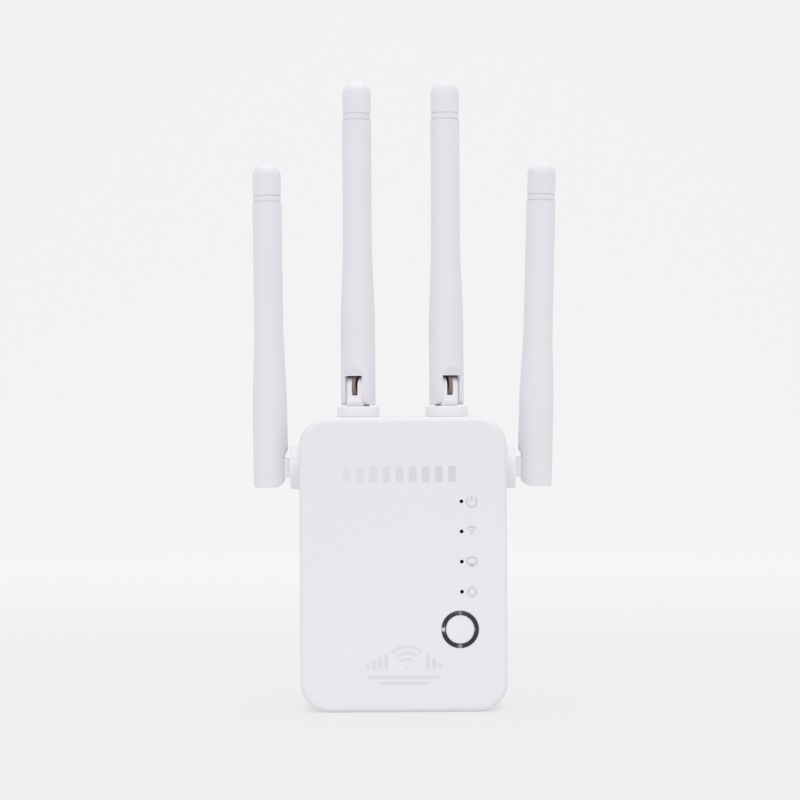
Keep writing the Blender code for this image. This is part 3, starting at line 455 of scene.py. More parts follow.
def rounded_outline(width, height, radius, steps=CORNER_STEPS):
    """Points round a rectangle with round corners, about its middle."""
    points = []
    for i, (sx, sz) in enumerate(((1, 1), (-1, 1), (-1, -1), (1, -1))):
        x, z = sx * (width / 2 - radius), sz * (height / 2 - radius)
        points += arc(x, z, radius, 90 * i, 90 * i + 90, steps)
    return points


def join_rings(bm, rings):
    """Joins rings of equally many vertices, one to the next, and fills both ends."""
    for first, second in zip(rings, rings[1:]):
        for i in range(len(first)):
            j = (i + 1) % len(first)
            bm.faces.new((first[i], first[j], second[j], second[i]))
    bm.faces.new(rings[0])
    bm.faces.new(rings[-1])


def lofted_mesh(name, rings):
    """Closed rings of equally many points, joined one to the next, with both ends filled."""
    bm = bmesh.new()
    join_rings(bm, [[bm.verts.new(point) for point in ring] for ring in rings])
    return to_mesh(bm, name)


def prism_mesh(name, outlines, low, high, axis="Y"):
    """Flat outlines of (a, b) points made into separate prisms along X or Y."""
    bm = bmesh.new()
    for outline in outlines:
        ends = []
        for level in (low, high):
            points = [(level, a, b) if axis == "X" else (a, level, b) for a, b in outline]
            ends.append([bm.verts.new(point) for point in points])
        join_rings(bm, ends)
    return to_mesh(bm, name)


def box_mesh(name, low, high):
    outline = [(low[0], low[2]), (high[0], low[2]), (high[0], high[2]), (low[0], high[2])]
    return prism_mesh(name, [outline], low[1], high[1])


def headings(points):
    """The direction of travel at each point of a line."""
    last = len(points) - 1
    return [(points[min(i + 1, last)] - points[max(i - 1, 0)]).normalized() for i in range(last + 1)]


def tube_mesh(name, points, radius, sides=20):
    """A round wire along points, with closed ends."""
    rings, side = [], None
    for point, along in zip(points, headings(points)):
        if side is None:
            side = along.orthogonal().normalized()
        side = (side - along * side.dot(along)).normalized()
        other = along.cross(side)
        around = [2 * math.pi * k / sides for k in range(sides)]
        rings.append([point + radius * (math.cos(a) * side + math.sin(a) * other) for a in around])
    return lofted_mesh(name, rings)


def bezier(start, start_pull, end_pull, end, steps=24):
    points = []
    for i in range(steps + 1):
        t = i / steps
        s = 1 - t
        points.append(s**3 * start + 3 * s * s * t * start_pull + 3 * s * t * t * end_pull + t**3 * end)
    return points


def combine(target, mesh, operation):
    """Joins a mesh to the target, or cuts it away, and applies the result at once."""
    helper = add_to_scene("helper", mesh)
    helper.matrix_world = target.matrix_world
    boolean = target.modifiers.new("cut", "BOOLEAN")
    boolean.operation = operation
    boolean.solver = "EXACT"
    boolean.object = helper
    apply_modifiers(target)
    bpy.data.objects.remove(helper, do_unlink=True)
    bpy.data.meshes.remove(mesh)


def apply_modifiers(obj):
    bpy.context.view_layer.update()
    graph = bpy.context.evaluated_depsgraph_get()
    made = bpy.data.meshes.new_from_object(obj.evaluated_get(graph))
    old = obj.data
    obj.modifiers.clear()
    obj.data = made
    bpy.data.meshes.remove(old)


def cut(target, *meshes):
    for mesh in meshes:
        combine(target, mesh, "DIFFERENCE")


def join(target, *meshes):
    for mesh in meshes:
        combine(target, mesh, "UNION")


def soften(obj, width, segments=2):
    """Rounds the edges sharper than SOFTEN_ANGLE by a small, even width."""
    bevel = obj.modifiers.new("edge", "BEVEL")
    bevel.width = width
    bevel.segments = segments
    bevel.limit_method = "ANGLE"
    bevel.angle_limit = math.radians(SOFTEN_ANGLE)
    bevel.use_clamp_overlap = True
    bevel.harden_normals = False
    apply_modifiers(obj)


def finish_surface(obj, angle=SMOOTH_ANGLE):
    """Smooth shading that keeps flat faces flat and true edges sharp."""
    obj.data.shade_smooth()
    obj.data.set_sharp_from_angle(angle=math.radians(angle))
    weighted = obj.modifiers.new("flat_faces", "WEIGHTED_NORMAL")
    weighted.keep_sharp = True
    weighted.weight = 60


def place(obj, body, slot, *nodes, angle=SMOOTH_ANGLE):
    """Finishes a piece's shading, hangs it on its body and hides the CAD nodes it stands for; the slot is not
    used.
    """
    finish_surface(obj, angle)
    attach(obj, body)
    if nodes:
        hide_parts(*nodes)


def place_new(name, mesh, material, body, slot, *nodes):
    """A piece whose mesh needs no more work."""
    place(new_object(name, mesh, material), body, slot, *nodes)


def stand_in(node, mesh, material, body, slot):
    """The same for a piece that stands for one CAD node."""
    place_new(f"{node}_fine", mesh, material, body, slot, node)


# ---- the case
def case_ring(y, inset):
    radius = max(CORNER_RADIUS - inset, 0.3 * MM)
    outline = rounded_outline(CASE_WIDTH - 2 * inset, CASE_HEIGHT - 2 * inset, radius)
    middle = (FRONT_LOW.z + FRONT_HIGH.z) / 2
    return [(x, y, z + middle) for x, z in outline]


def edge_arc(radius, steps):
    """(forward, inset) steps round a quarter circle, from the wall to the face."""
    return [(radius * math.sin(turn), radius * (1 - math.cos(turn))) for turn in turns(0, 90, steps)]


def rounded_rim(radius, end, edge, steps):
    """(radius, height) points round a turned piece's edge, from its end face out to its wall."""
    return [(radius - inset, end - edge + forward) for forward, inset in reversed(edge_arc(edge, steps))]


def half_case(name, rim_y, face_y, edge_radius, material):
    """One half of the case, solid: softly broken rim, straight wall, rounded edge and flat face."""
    way = 1 if face_y > rim_y else -1
    rim_break = 0.22 * MM
    rings = [case_ring(rim_y, 1.2 * MM)]
    for forward, inset in reversed(edge_arc(rim_break, 4)):
        rings.append(case_ring(rim_y + way * (rim_break - forward), inset))
    for forward, inset in edge_arc(edge_radius, 12):
        rings.append(case_ring(face_y - way * (edge_radius - forward), inset))
    rings.append(case_ring(face_y, edge_radius + 0.4 * MM))
    return new_object(name, lofted_mesh(name, rings), material)


def slab_mesh(name, y_low, y_high, inset):
    return lofted_mesh(name, [case_ring(y_low, inset), case_ring(y_high, inset)])


def along_y(mesh, spot):
    """Turns a mesh built about Z so that its +Z points along +Y through the spot."""
    mesh.transform(Matrix.Translation((spot.x, 0, spot.z)) @ Matrix.Rotation(math.radians(-90), 4, "X"))
    return mesh


def rod_mesh(name, radius, low, high, steps=MEDIUM):
    return turned_mesh(name, [(0, low), (radius, low), (radius, high), (0, high)], steps)


def rod_along_y(name, radius, low, high, spot, steps=MEDIUM):
    return along_y(rod_mesh(name, radius, low, high, steps), spot)


def middle_of(node):
    low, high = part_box(node)
    return (low + high) / 2


def make_front_cover():
    """The glossy front: a rounded slab, hollow behind, with a lip, bosses, LED holes and the ring's hole."""
    rim = FRONT_HIGH.y - LIP_REACH
    cover = half_case("front_cover_fine", rim, FRONT_Y, FRONT_EDGE_RADIUS, COVER_WHITE)
    lip_inset = WALL + GAP
    join(cover, slab_mesh("lip", rim - 1.0 * MM, rim + LIP_REACH, lip_inset))
    step_y = rim - LIP_ROOT
    hollow_end = rim + LIP_REACH + OVERRUN
    cut(
        cover,
        slab_mesh("hollow", FRONT_Y + WALL, step_y, WALL),
        slab_mesh("lip_hollow", step_y - OVERRUN, hollow_end, lip_inset + LIP_THICKNESS),
    )
    low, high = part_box(SOCKET_NODES[0])[0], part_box(SOCKET_NODES[1])[1]
    room_low = (low.x - GAP, low.y - GAP, FRONT_LOW.z + WALL)
    cut(cover, box_mesh("socket_room", room_low, (high.x + GAP, 0.0, room_low[2] + 3 * LIP_THICKNESS)))
    inner_face = FRONT_Y + WALL
    for node in SCREW_NODES:
        spot = middle_of(node)
        join(cover, rod_along_y("boss", BOSS_RADIUS, inner_face - OVERRUN, rim, spot))
        cut(cover, rod_along_y("pilot", PILOT_RADIUS, inner_face + 0.4 * MM, OVERRUN, spot))
    start, end = FRONT_Y - OVERRUN, inner_face + OVERRUN
    for node in LED_NODES:
        cut(cover, rod_along_y("led_hole", LED_HOLE_RADIUS, start, end, middle_of(node)))
    cut(cover, rod_along_y("ring_hole", RING_HOLE_RADIUS, start, end, middle_of("button_ring"), FINE))
    place(cover, "case", "gloss_white", "front_cover")


def pill_outline(width, height, steps=8):
    """An upright slot with round ends, about its middle."""
    return rounded_outline(width, height, min(width, height) / 2 - 0.01 * MM, steps)


def shifted(outline, x, z):
    return [(a + x, b + z) for a, b in outline]


def make_rear_cover():
    """The satin back: wells for the screws, holes for the collars, plug and sockets, and vents."""
    inner_face = BACK_Y - WALL
    cover = half_case("rear_cover_fine", PARTING_Y, BACK_Y, BACK_EDGE_RADIUS, CASE_WHITE)
    cut(cover, slab_mesh("hollow", PARTING_Y - OVERRUN, inner_face, WALL))
    for node in SCREW_NODES:
        spot = middle_of(node)
        join(cover, rod_along_y("boss", BOSS_RADIUS + 0.6 * MM, PARTING_Y, inner_face + OVERRUN, spot))
        start, end = PARTING_Y - OVERRUN, SCREW_SEAT_Y + OVERRUN
        cut(cover, rod_along_y("clearance", CLEARANCE_RADIUS, start, end, spot))
        cut(cover, rod_along_y("well", WELL_RADIUS, SCREW_SEAT_Y, BACK_Y + OVERRUN, spot))
    for name in ANTENNA_NAMES:
        hinge = hinge_frame(name)
        wall_face = -HINGE_STANDOFF - COLLAR_HEIGHT
        hole = rod_mesh("collar_hole", COLLAR_SPIGOT_RADIUS + GAP, wall_face - 3 * WALL, wall_face + WALL)
        hole.transform(hinge)
        cut(cover, hole)
    neck = neck_ring(inner_face - OVERRUN, -GAP), neck_ring(BACK_Y + OVERRUN, -GAP)
    cut(cover, lofted_mesh("neck_hole", neck))
    for node in SOCKET_NODES:
        low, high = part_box(node)
        margin_x, margin_y = 0.8 * MM, 0.7 * MM
        mouth_low = (low.x + margin_x, max(low.y + margin_y, PARTING_Y + 1.4 * MM), -OVERRUN)
        mouth_high = (high.x - margin_x, high.y - margin_y, WALL + OVERRUN)
        cut(cover, box_mesh("socket_mouth", mouth_low, mouth_high))
    slots = [
        shifted(pill_outline(VENT_WIDTH, VENT_HEIGHT), column * VENT_PITCH, z)
        for z in VENT_ZS
        for column in range(-4, 5)
    ]
    cut(cover, prism_mesh("vents", slots, inner_face - OVERRUN, BACK_Y + OVERRUN))
    place(cover, "case", "case_white", "rear_cover")


# ---- the plug
def neck_ring(y, inset):
    """The plug's eight-sided outline at y, drawn in by inset, with its corners rounded."""
    low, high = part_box("plug_pin_left")[0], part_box("plug_pin_right")[1]
    centre_z = (low.z + high.z) / 2
    half_width, half_height = NECK_WIDTH / 2 - inset, NECK_HEIGHT / 2 - inset
    chamfer = NECK_CHAMFER - inset * (2 - math.sqrt(2))
    upper = [
        (half_width, half_height - chamfer),
        (half_width - chamfer, half_height),
        (chamfer - half_width, half_height),
        (-half_width, half_height - chamfer),
    ]
    corners = upper + [(-x, -z) for x, z in upper]
    return [(x, y, z + centre_z) for x, z in round_corners(corners, NECK_CORNER, 5)]


def round_corners(corners, radius, steps):
    """A closed outline's corners, each turned into a short arc that starts radius away from it."""
    points = []
    for i, corner in enumerate(corners):
        here = Vector(corner)
        to_last = (Vector(corners[i - 1]) - here).normalized()
        to_next = (Vector(corners[(i + 1) % len(corners)]) - here).normalized()
        start, end = here + radius * to_last, here + radius * to_next
        for k in range(steps + 1):
            t = k / steps
            points.append(tuple((1 - t) ** 2 * start + 2 * t * (1 - t) * here + t * t * end))
    return points


def make_plug():
    """The neck with its flange, two sleeved pins, and their softly broken edges."""
    inner_face = BACK_Y - WALL
    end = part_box("plug_housing")[1].y
    edge = 0.7 * MM
    rings = [neck_ring(inner_face - GAP - FLANGE_THICKNESS / 2, 0.0)]
    rings += [neck_ring(end - edge + forward, inset) for forward, inset in edge_arc(edge, 6)]
    rings.append(neck_ring(end, edge + 0.4 * MM))
    housing = new_object("plug_housing_fine", lofted_mesh("plug", rings), CASE_WHITE)
    flange_front = inner_face - GAP - FLANGE_THICKNESS
    flange = [neck_ring(flange_front, -FLANGE_MARGIN), neck_ring(inner_face - GAP, -FLANGE_MARGIN)]
    join(housing, lofted_mesh("flange", flange))
    for side in ("left", "right"):
        spot = middle_of(f"plug_pin_{side}")
        sleeve_low, sleeve_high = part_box(f"pin_sleeve_{side}")
        pin_low, pin_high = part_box(f"plug_pin_{side}")
        for part, radius, start in (
            ("pin_bore", PIN_NECK_RADIUS, flange_front - OVERRUN),
            ("sleeve_seat", PIN_SLEEVE_RADIUS, sleeve_low.y - GAP),
        ):
            cut(housing, rod_along_y(part, radius + PIN_FIT_GAP, start, end + OVERRUN, spot))
        make_pin(side, spot, pin_low.y, pin_high.y, sleeve_high.y)
        make_pin_sleeve(side, spot, sleeve_low.y, sleeve_high.y)
    place(housing, "case", "case_white", "plug_housing")


def make_pin(side, spot, tail_end, pin_end, sleeve_end):
    nose = 1.1 * MM
    tail_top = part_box("power_board")[1].y + 1.0 * MM
    shoulder = sleeve_end + PIN_FIT_GAP
    profile = [
        (0.0, pin_end),
        *rounded_rim(PIN_RADIUS, pin_end, nose, 10),
        (PIN_RADIUS, shoulder + 0.15 * MM),
        (PIN_RADIUS - 0.15 * MM, shoulder),
        (PIN_NECK_RADIUS, shoulder),
        (PIN_NECK_RADIUS, tail_top),
        (PIN_TAIL_RADIUS, tail_top),
        (PIN_TAIL_RADIUS, tail_end + 0.2 * MM),
        (PIN_TAIL_RADIUS - 0.2 * MM, tail_end),
        (0.0, tail_end),
    ]
    mesh = along_y(turned_mesh("pin", profile), spot)
    stand_in(f"plug_pin_{side}", mesh, PIN_NICKEL, "case", "nickel")


def make_pin_sleeve(side, spot, start, end):
    edge = 0.2 * MM
    outer, inner = PIN_SLEEVE_RADIUS, PIN_NECK_RADIUS + PIN_FIT_GAP
    profile = [(inner, end), *rounded_rim(outer, end, edge, 4), (outer, start), (inner, start)]
    mesh = along_y(turned_mesh("pin_sleeve", profile, closed=True), spot)
    stand_in(f"pin_sleeve_{side}", mesh, BLACK_PLASTIC, "case", "black_plastic")


# ---- screws
def make_screw(node):
    """A pan-head screw with a cross recess and a thread that is cut as rings."""
    spot = middle_of(node)
    tip, head_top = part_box(node)[0].y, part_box(node)[1].y
    head_base = SCREW_SEAT_Y + GAP / 2
    profile = [(0.0, head_top)]
    dome = head_top - head_base - 0.4 * MM
    for i in range(1, 9):
        turn = math.pi / 2 * i / 8
        profile.append((SCREW_HEAD_RADIUS * math.sin(turn), head_top - dome * (1 - math.cos(turn))))
    profile += [(SCREW_HEAD_RADIUS, head_base), (SCREW_SHANK_RADIUS, head_base)]
    root, pitch, y = SCREW_SHANK_RADIUS - 0.22 * MM, 0.8 * MM, head_base - 0.6 * MM
    while y > tip + 1.8 * MM:
        profile += [(SCREW_SHANK_RADIUS, y), (root, y - 0.35 * MM), (root, y - 0.5 * MM)]
        y -= pitch
    profile += [(SCREW_SHANK_RADIUS, y), (0.0, tip)]
    mesh = along_y(turned_mesh("screw", profile, MEDIUM), spot)
    screw = new_object(f"{node}_fine", mesh, SCREW_STEEL)
    arm, blade = 1.2 * MM, 0.35 * MM
    for depth, (half_x, half_z) in ((1.0 * MM, (arm, blade)), (1.1 * MM, (blade, arm))):
        low = (spot.x - half_x, head_top - depth, spot.z - half_z)
        high = (spot.x + half_x, head_top + OVERRUN, spot.z + half_z)
        cut(screw, box_mesh("cross", low, high))
    place(screw, "case", "steel", node)


# ---- the button
def facing_front(mesh, spot):
    """Turns a mesh built about Z so that its +Z points out of the front face over the spot."""
    mesh.transform(Matrix.Translation((spot.x, FRONT_Y, spot.z)) @ Matrix.Rotation(math.radians(90), 4, "X"))
    return mesh


def make_button():
    """The crowned dark ring and the faintly crowned cap inside it."""
    spot = middle_of("button_ring")
    proud = FRONT_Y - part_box("button_ring")[0].y
    back = -(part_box("button_ring")[1].y - FRONT_Y)
    stand = RING_HOLE_RADIUS - 0.15 * MM
    foot = 0.03 * MM
    brow, rim = RING_INNER_RADIUS + 0.17 * MM, RING_OUTER_RADIUS - 0.1 * MM
    fall = (rim - brow) * math.tan(RING_SLOPE)
    profile = [
        (RING_INNER_RADIUS, proud - 0.14 * MM),
        (RING_INNER_RADIUS + 0.04 * MM, proud - 0.06 * MM),
        (RING_INNER_RADIUS + 0.1 * MM, proud - 0.015 * MM),
        (brow, proud),
        (rim, proud - fall),
        (RING_OUTER_RADIUS - 0.03 * MM, proud - fall - 0.03 * MM),
        (RING_OUTER_RADIUS, foot),
        (stand, foot),
        (stand, back),
        (RING_INNER_RADIUS, back),
    ]
    ring_mesh = facing_front(turned_mesh("ring", profile, 128, closed=True), spot)
    ring = new_object("button_ring_fine", ring_mesh, RING_CHROME)
    place(ring, "case", "dark_chrome", "button_ring", angle=20.0)

    low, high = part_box("wps_button")
    face, flange_back = FRONT_Y - low.y, FRONT_Y - high.y
    flange_front = flange_back + 0.6 * MM
    edge = 0.4 * MM
    crown = 0.12 * MM
    cap_profile = [(0.0, face)]
    cap_profile += [((BUTTON_RADIUS - edge) * i / 8, face - crown * (i / 8) ** 2) for i in range(1, 8)]
    cap_profile += [
        *rounded_rim(BUTTON_RADIUS, face - crown, edge, 8),
        (BUTTON_RADIUS, flange_front),
        (RING_HOLE_RADIUS, flange_front),
        (RING_HOLE_RADIUS, flange_back),
        (0.0, flange_back),
    ]
    cap_mesh = facing_front(turned_mesh("cap", cap_profile), spot)
    stand_in("wps_button", cap_mesh, BUTTON_WHITE, "button", "gloss_white")
    return ring


# ---- network sockets
def make_socket(node):
    """A pressed shell round a black insert, with eight sprung contacts in its mouth."""
    low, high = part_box(node)
    centre = (low.x + high.x) / 2
    side = node.rsplit("_", 1)[1]
    skin = 0.35 * MM
    mouth_low = (centre - SOCKET_MOUTH_WIDTH / 2, low.y + SOCKET_MOUTH_SETBACK, low.z - OVERRUN)
    mouth_high = (
        centre + SOCKET_MOUTH_WIDTH / 2,
        mouth_low[1] + SOCKET_MOUTH_DEPTH,
        low.z + SOCKET_MOUTH_LENGTH,
    )
    shell = new_object(f"socket_shell_{side}", box_mesh("shell", low, high), SHELL_STEEL)
    core_low = Vector((low.x + skin, low.y + skin, low.z - OVERRUN))
    core_high = Vector((high.x - skin, high.y - skin, high.z - skin))
    cut(shell, box_mesh("core_room", core_low, core_high))
    soften(shell, 0.3 * MM, 3)
    place(shell, "case", "steel", node)

    gap = 0.02 * MM
    insert_low = core_low + Vector((gap, gap, OVERRUN + 0.15 * MM))
    insert_high = core_high - Vector((gap, gap, gap))
    insert = new_object(f"socket_insert_{side}", box_mesh("insert", insert_low, insert_high), BLACK_PLASTIC)
    cut(insert, box_mesh("mouth", mouth_low, mouth_high))
    for i, width in enumerate(LATCH_WIDTHS):
        notch_y = mouth_high[1] + i * LATCH_DEPTH - 0.1 * MM
        notch_low = (centre - width / 2, notch_y, mouth_low[2])
        notch_high = (centre + width / 2, notch_y + LATCH_DEPTH + 0.1 * MM, mouth_high[2] - 2 * MM)
        cut(insert, box_mesh("notch", notch_low, notch_high))
    soften(insert, 0.12 * MM)
    place(insert, "case", "black_plastic")

    bm = bmesh.new()
    for i in range(8):
        x = centre + (i - 3.5) * CONTACT_PITCH
        path = [
            Vector((x, mouth_low[1] + 0.3 * MM, low.z + 1.2 * MM)),
            Vector((x, mouth_low[1] + 0.5 * MM, low.z + 2.0 * MM)),
            *bezier(
                Vector((x, mouth_low[1] + 0.8 * MM, low.z + 3.0 * MM)),
                Vector((x, mouth_low[1] + 1.6 * MM, low.z + 6.0 * MM)),
                Vector((x, mouth_low[1] + 2.8 * MM, low.z + 9.0 * MM)),
                Vector((x, mouth_low[1] + 3.4 * MM, mouth_high[2] - 0.05 * MM)),
                steps=8,
            ),
        ]
        contact = tube_mesh("contact", path, CONTACT_RADIUS, sides=10)
        bm.from_mesh(contact)
        bpy.data.meshes.remove(contact)
    place_new(f"socket_contacts_{side}", to_mesh(bm, "contacts"), CONTACT_GOLD, "case", "brass")


# ---- antennas
def hinge_frame(name):
    """The hinge's frame: +Z the straight antenna, -Y the way it folds, +X the fold's axis."""
    swivel, fold = JOINTS[f"swivel_{name}"], JOINTS[f"fold_{name}"]
    z, x = Vector(swivel["axis"]), Vector(fold["axis"])
    turn = Matrix((x, z.cross(x), z)).transposed()
    return Matrix.Translation(swivel["pos_m"]) @ turn.to_4x4()


def fold_angle(name):
    """How far the antenna is folded as it stands, from the travel that is left."""
    return math.radians(90.0 - JOINTS[f"fold_{name}"]["range_deg"][1])


def fold_frame(name):
    return hinge_frame(name) @ Matrix.Rotation(fold_angle(name), 4, "X")


def smooth_step(t):
    t = min(max(t, 0.0), 1.0)
    return t * t * (3 - 2 * t)


def tube_radius(height):
    t = (height - SLEEVE_TOP) / (TAPER_END - SLEEVE_TOP)
    return SLEEVE_RADIUS + (TUBE_RADIUS - SLEEVE_RADIUS) * smooth_step(t)


def make_tube(name):
    """The long tube: domed tip with two turned grooves, an even stretch, and a taper to the sleeve."""
    dome = TUBE_RADIUS - 0.12 * MM
    dome_height = dome * 0.92
    dome_base = TUBE_TIP - dome_height
    profile = []
    for turn in turns(0, 90, 16):
        profile.append((dome * math.sin(turn), dome_base + dome_height * math.cos(turn)))
    groove_top = TUBE_TIP - TIP_LENGTH
    for i in range(2):
        top = groove_top - i * GROOVE_PITCH
        rim = dome if i == 0 else dome - 0.1 * MM
        after = rim - 0.1 * MM if i == 0 else TUBE_RADIUS
        floor = dome - GROOVE_DEPTH
        lip = 0.1 * MM
        profile += [(rim, top + lip), (rim - 0.03 * MM, top + 0.02 * MM), (floor + lip, top - lip)]
        profile += [(floor, top - 2 * lip), (floor, top - GROOVE_WIDTH + lip)]
        bottom = top - GROOVE_WIDTH
        profile += [(after - 0.03 * MM, bottom - 0.08 * MM), (after, bottom - 2 * lip)]
    foot = SLEEVE_TOP + SEAM / 2
    steps = 16
    profile.append((TUBE_RADIUS, TAPER_END + 18.0 * MM))
    for i in range(steps + 1):
        height = TAPER_END + (foot + SEAM - TAPER_END) * i / steps
        profile.append((tube_radius(height), height))
    profile.append((SLEEVE_RADIUS - SEAM, foot))
    spigot = TUBE_BORE_RADIUS + 0.9 * MM
    bottom = SLEEVE_TOP - TUBE_SPIGOT_LENGTH
    bore_top = TUBE_TIP - 3.0 * MM
    profile += [(spigot, foot), (spigot, bottom), (TUBE_BORE_RADIUS, bottom)]
    profile += [(TUBE_BORE_RADIUS, SLEEVE_TOP + 4.0 * MM), (TUBE_INNER_RADIUS, TAPER_END)]
    profile += [(TUBE_INNER_RADIUS, bore_top), (0.0, bore_top)]
    mesh = turned_mesh("tube", profile)
    mesh.transform(fold_frame(name))
    stand_in(f"antenna_tube_{name}", mesh, ANTENNA_WHITE, f"antenna_{name}", "antenna_white")


def cross_rod(name, radius, reach):
    """A rod along the fold's axis, to both sides of it."""
    mesh = rod_mesh(name, radius, -reach, reach)
    mesh.transform(Matrix.Rotation(math.radians(90), 4, "Y"))
    return mesh


def make_sleeve(name):
    """The fork: a round sleeve with a window, flat and chamfered at the front, and rounded ears."""
    bore = TUBE_BORE_RADIUS + 0.9 * MM + GAP / 2
    bore_floor = SLEEVE_TOP - TUBE_SPIGOT_LENGTH - 0.5 * MM
    cavity_floor = WINDOW_TOP - 0.5 * MM
    ear = 0.35 * MM
    profile = [(0.0, cavity_floor), (TUBE_BORE_RADIUS, cavity_floor), (TUBE_BORE_RADIUS, bore_floor)]
    rim = SLEEVE_TOP - SEAM / 2
    profile += [(bore, bore_floor), (bore, rim), (SLEEVE_RADIUS - SEAM, rim), (SLEEVE_RADIUS, rim - SEAM)]
    profile += [(SLEEVE_RADIUS, height) for height in (14.0 * MM, 7.0 * MM, 0.0)]
    for forward, inset in edge_arc(ear, 8):
        profile.append((SLEEVE_RADIUS - inset, SLEEVE_BOTTOM + ear - forward))
    profile.append((0.0, SLEEVE_BOTTOM))
    sleeve = new_object(f"hinge_sleeve_{name}_fine", turned_mesh("sleeve", profile), ANTENNA_WHITE)
    half = SLOT_WIDTH / 2
    far = SLEEVE_RADIUS + OVERRUN
    cut(sleeve, box_mesh("slot", (-half, -far, SLEEVE_BOTTOM - OVERRUN), (half, SLOT_BACK, WINDOW_TOP)))
    trim = [
        (-far, SLEEVE_BOTTOM - OVERRUN),
        (-WINDOW_FLAT, SLEEVE_BOTTOM - OVERRUN),
        (-WINDOW_FLAT, WINDOW_CHAMFER_BOTTOM),
        (-SLEEVE_RADIUS - 0.02 * MM, WINDOW_CHAMFER_TOP),
        (-far, WINDOW_CHAMFER_TOP),
    ]
    low = SLEEVE_BOTTOM - 2 * OVERRUN
    centre_y, centre_z = EAR_RADIUS - WINDOW_FLAT, SLEEVE_BOTTOM + EAR_RADIUS
    sweep = EAR_RADIUS + 0.03 * MM
    corner = [
        (centre_y - sweep * math.sin(turn), centre_z - sweep * math.cos(turn)) for turn in turns(0, 90, 20)
    ]
    corner += [(-far - OVERRUN, centre_z), (-far - OVERRUN, low), (centre_y, low)]
    cut(
        sleeve,
        cross_rod("sockets", TRUNNION_RADIUS + 0.15 * MM, TRUNNION_REACH + GAP),
        prism_mesh("window_trim", [trim], -far, far, axis="X"),
        prism_mesh("corner_trim", [corner], -far - OVERRUN, far + OVERRUN, axis="X"),
    )
    soften(sleeve, 0.12 * MM)
    sleeve.data.transform(fold_frame(name))
    place(sleeve, f"antenna_{name}", "antenna_white", f"hinge_sleeve_{name}")


def make_knuckle(name):
    """The swivelling knuckle: a round-ended head with a cable slot, on a stem through the collar."""
    stem_end = -HINGE_STANDOFF - COLLAR_HEIGHT - WALL - COLLAR_SPIGOT_REACH - GAP
    lip_end = stem_end - KNUCKLE_LIP_HEIGHT
    head_bottom = -HINGE_STANDOFF + 0.02 * MM
    stem_top = head_bottom + 0.07 * MM
    outline = arc(0.0, 0.0, KNUCKLE_RADIUS, 0, 180, 36)
    outline += [
        (-KNUCKLE_RADIUS, BROW_HEIGHT + 1.0 * MM),
        (-KNUCKLE_BROW, BROW_HEIGHT),
        (-KNUCKLE_NECK, head_bottom),
        (KNUCKLE_NECK, head_bottom),
        (KNUCKLE_RADIUS, BROW_HEIGHT),
    ]
    half = KNUCKLE_WIDTH / 2
    head = prism_mesh("head", [outline], -half, half, axis="X")
    knuckle = new_object(f"antenna_knuckle_{name}_fine", head, KNUCKLE_WHITE_PAINTED_LIGHT)
    soften(knuckle, 0.25 * MM, 3)
    stem = [
        (0.0, stem_top),
        (STEM_RADIUS, stem_top),
        (STEM_RADIUS, stem_end),
        (KNUCKLE_LIP_RADIUS, stem_end),
        (STEM_RADIUS - 0.2 * MM, lip_end),
        (0.0, lip_end),
    ]
    join(knuckle, turned_mesh("stem", stem), cross_rod("trunnions", TRUNNION_RADIUS, TRUNNION_REACH))
    width = CABLE_SLOT_WIDTH / 2
    bore = rod_mesh("cable_bore", width, lip_end - OVERRUN, KNUCKLE_RADIUS + OVERRUN)
    flare = [(width, CABLE_SLOT_BOTTOM), (width, 1.6 * MM), (width + 0.5 * MM, KNUCKLE_RADIUS + OVERRUN)]
    outline = flare + [(-x, z) for x, z in reversed(flare)]
    cut(knuckle, bore, prism_mesh("cable_slot", [outline], -KNUCKLE_RADIUS - OVERRUN, 2.4 * MM))
    knuckle.data.transform(hinge_frame(name))
    place(knuckle, f"swivel_{name}", "antenna_white", f"antenna_knuckle_{name}")
    # painted shade: a black block filling the cable slot beside the coax, standing in for the slot's dark
    # depth
    slot_shade_block = box_mesh("slot_shade_block", (-width, -1.7 * MM, CABLE_SLOT_BOTTOM), (width, 2.4 * MM, 2.1 * MM))
    slot_shade_block = new_object(f"cable_grommet_{name}", slot_shade_block, BLACK_PLASTIC)
    soften(slot_shade_block, 0.2 * MM)
    slot_shade_block.data.transform(hinge_frame(name))
    place(slot_shade_block, f"swivel_{name}", "black_plastic")


def make_collar(name):
    """The fixed collar, with rolled edges and a fine step at its foot."""
    face = -HINGE_STANDOFF
    wall_face = face - COLLAR_HEIGHT + 2 * SEAM
    spigot_end = wall_face - WALL - COLLAR_SPIGOT_REACH - 2 * SEAM
    bore = STEM_RADIUS + GAP
    edge, foot = 0.55 * MM, 0.1 * MM
    profile = [(bore, face - 0.1 * MM), (bore + 0.1 * MM, face), *rounded_rim(COLLAR_RADIUS, face, edge, 8)]
    for forward, inset in edge_arc(foot, 4):
        profile.append((COLLAR_RADIUS - inset, wall_face + foot - forward))
    profile += [(COLLAR_SPIGOT_RADIUS, wall_face), (COLLAR_SPIGOT_RADIUS, spigot_end), (bore, spigot_end)]
    mesh = turned_mesh("collar", profile, closed=True)
    mesh.transform(hinge_frame(name))
    stand_in(f"antenna_collar_{name}", mesh, COLLAR_WHITE_PAINTED_LIGHT, "case", "case_white")


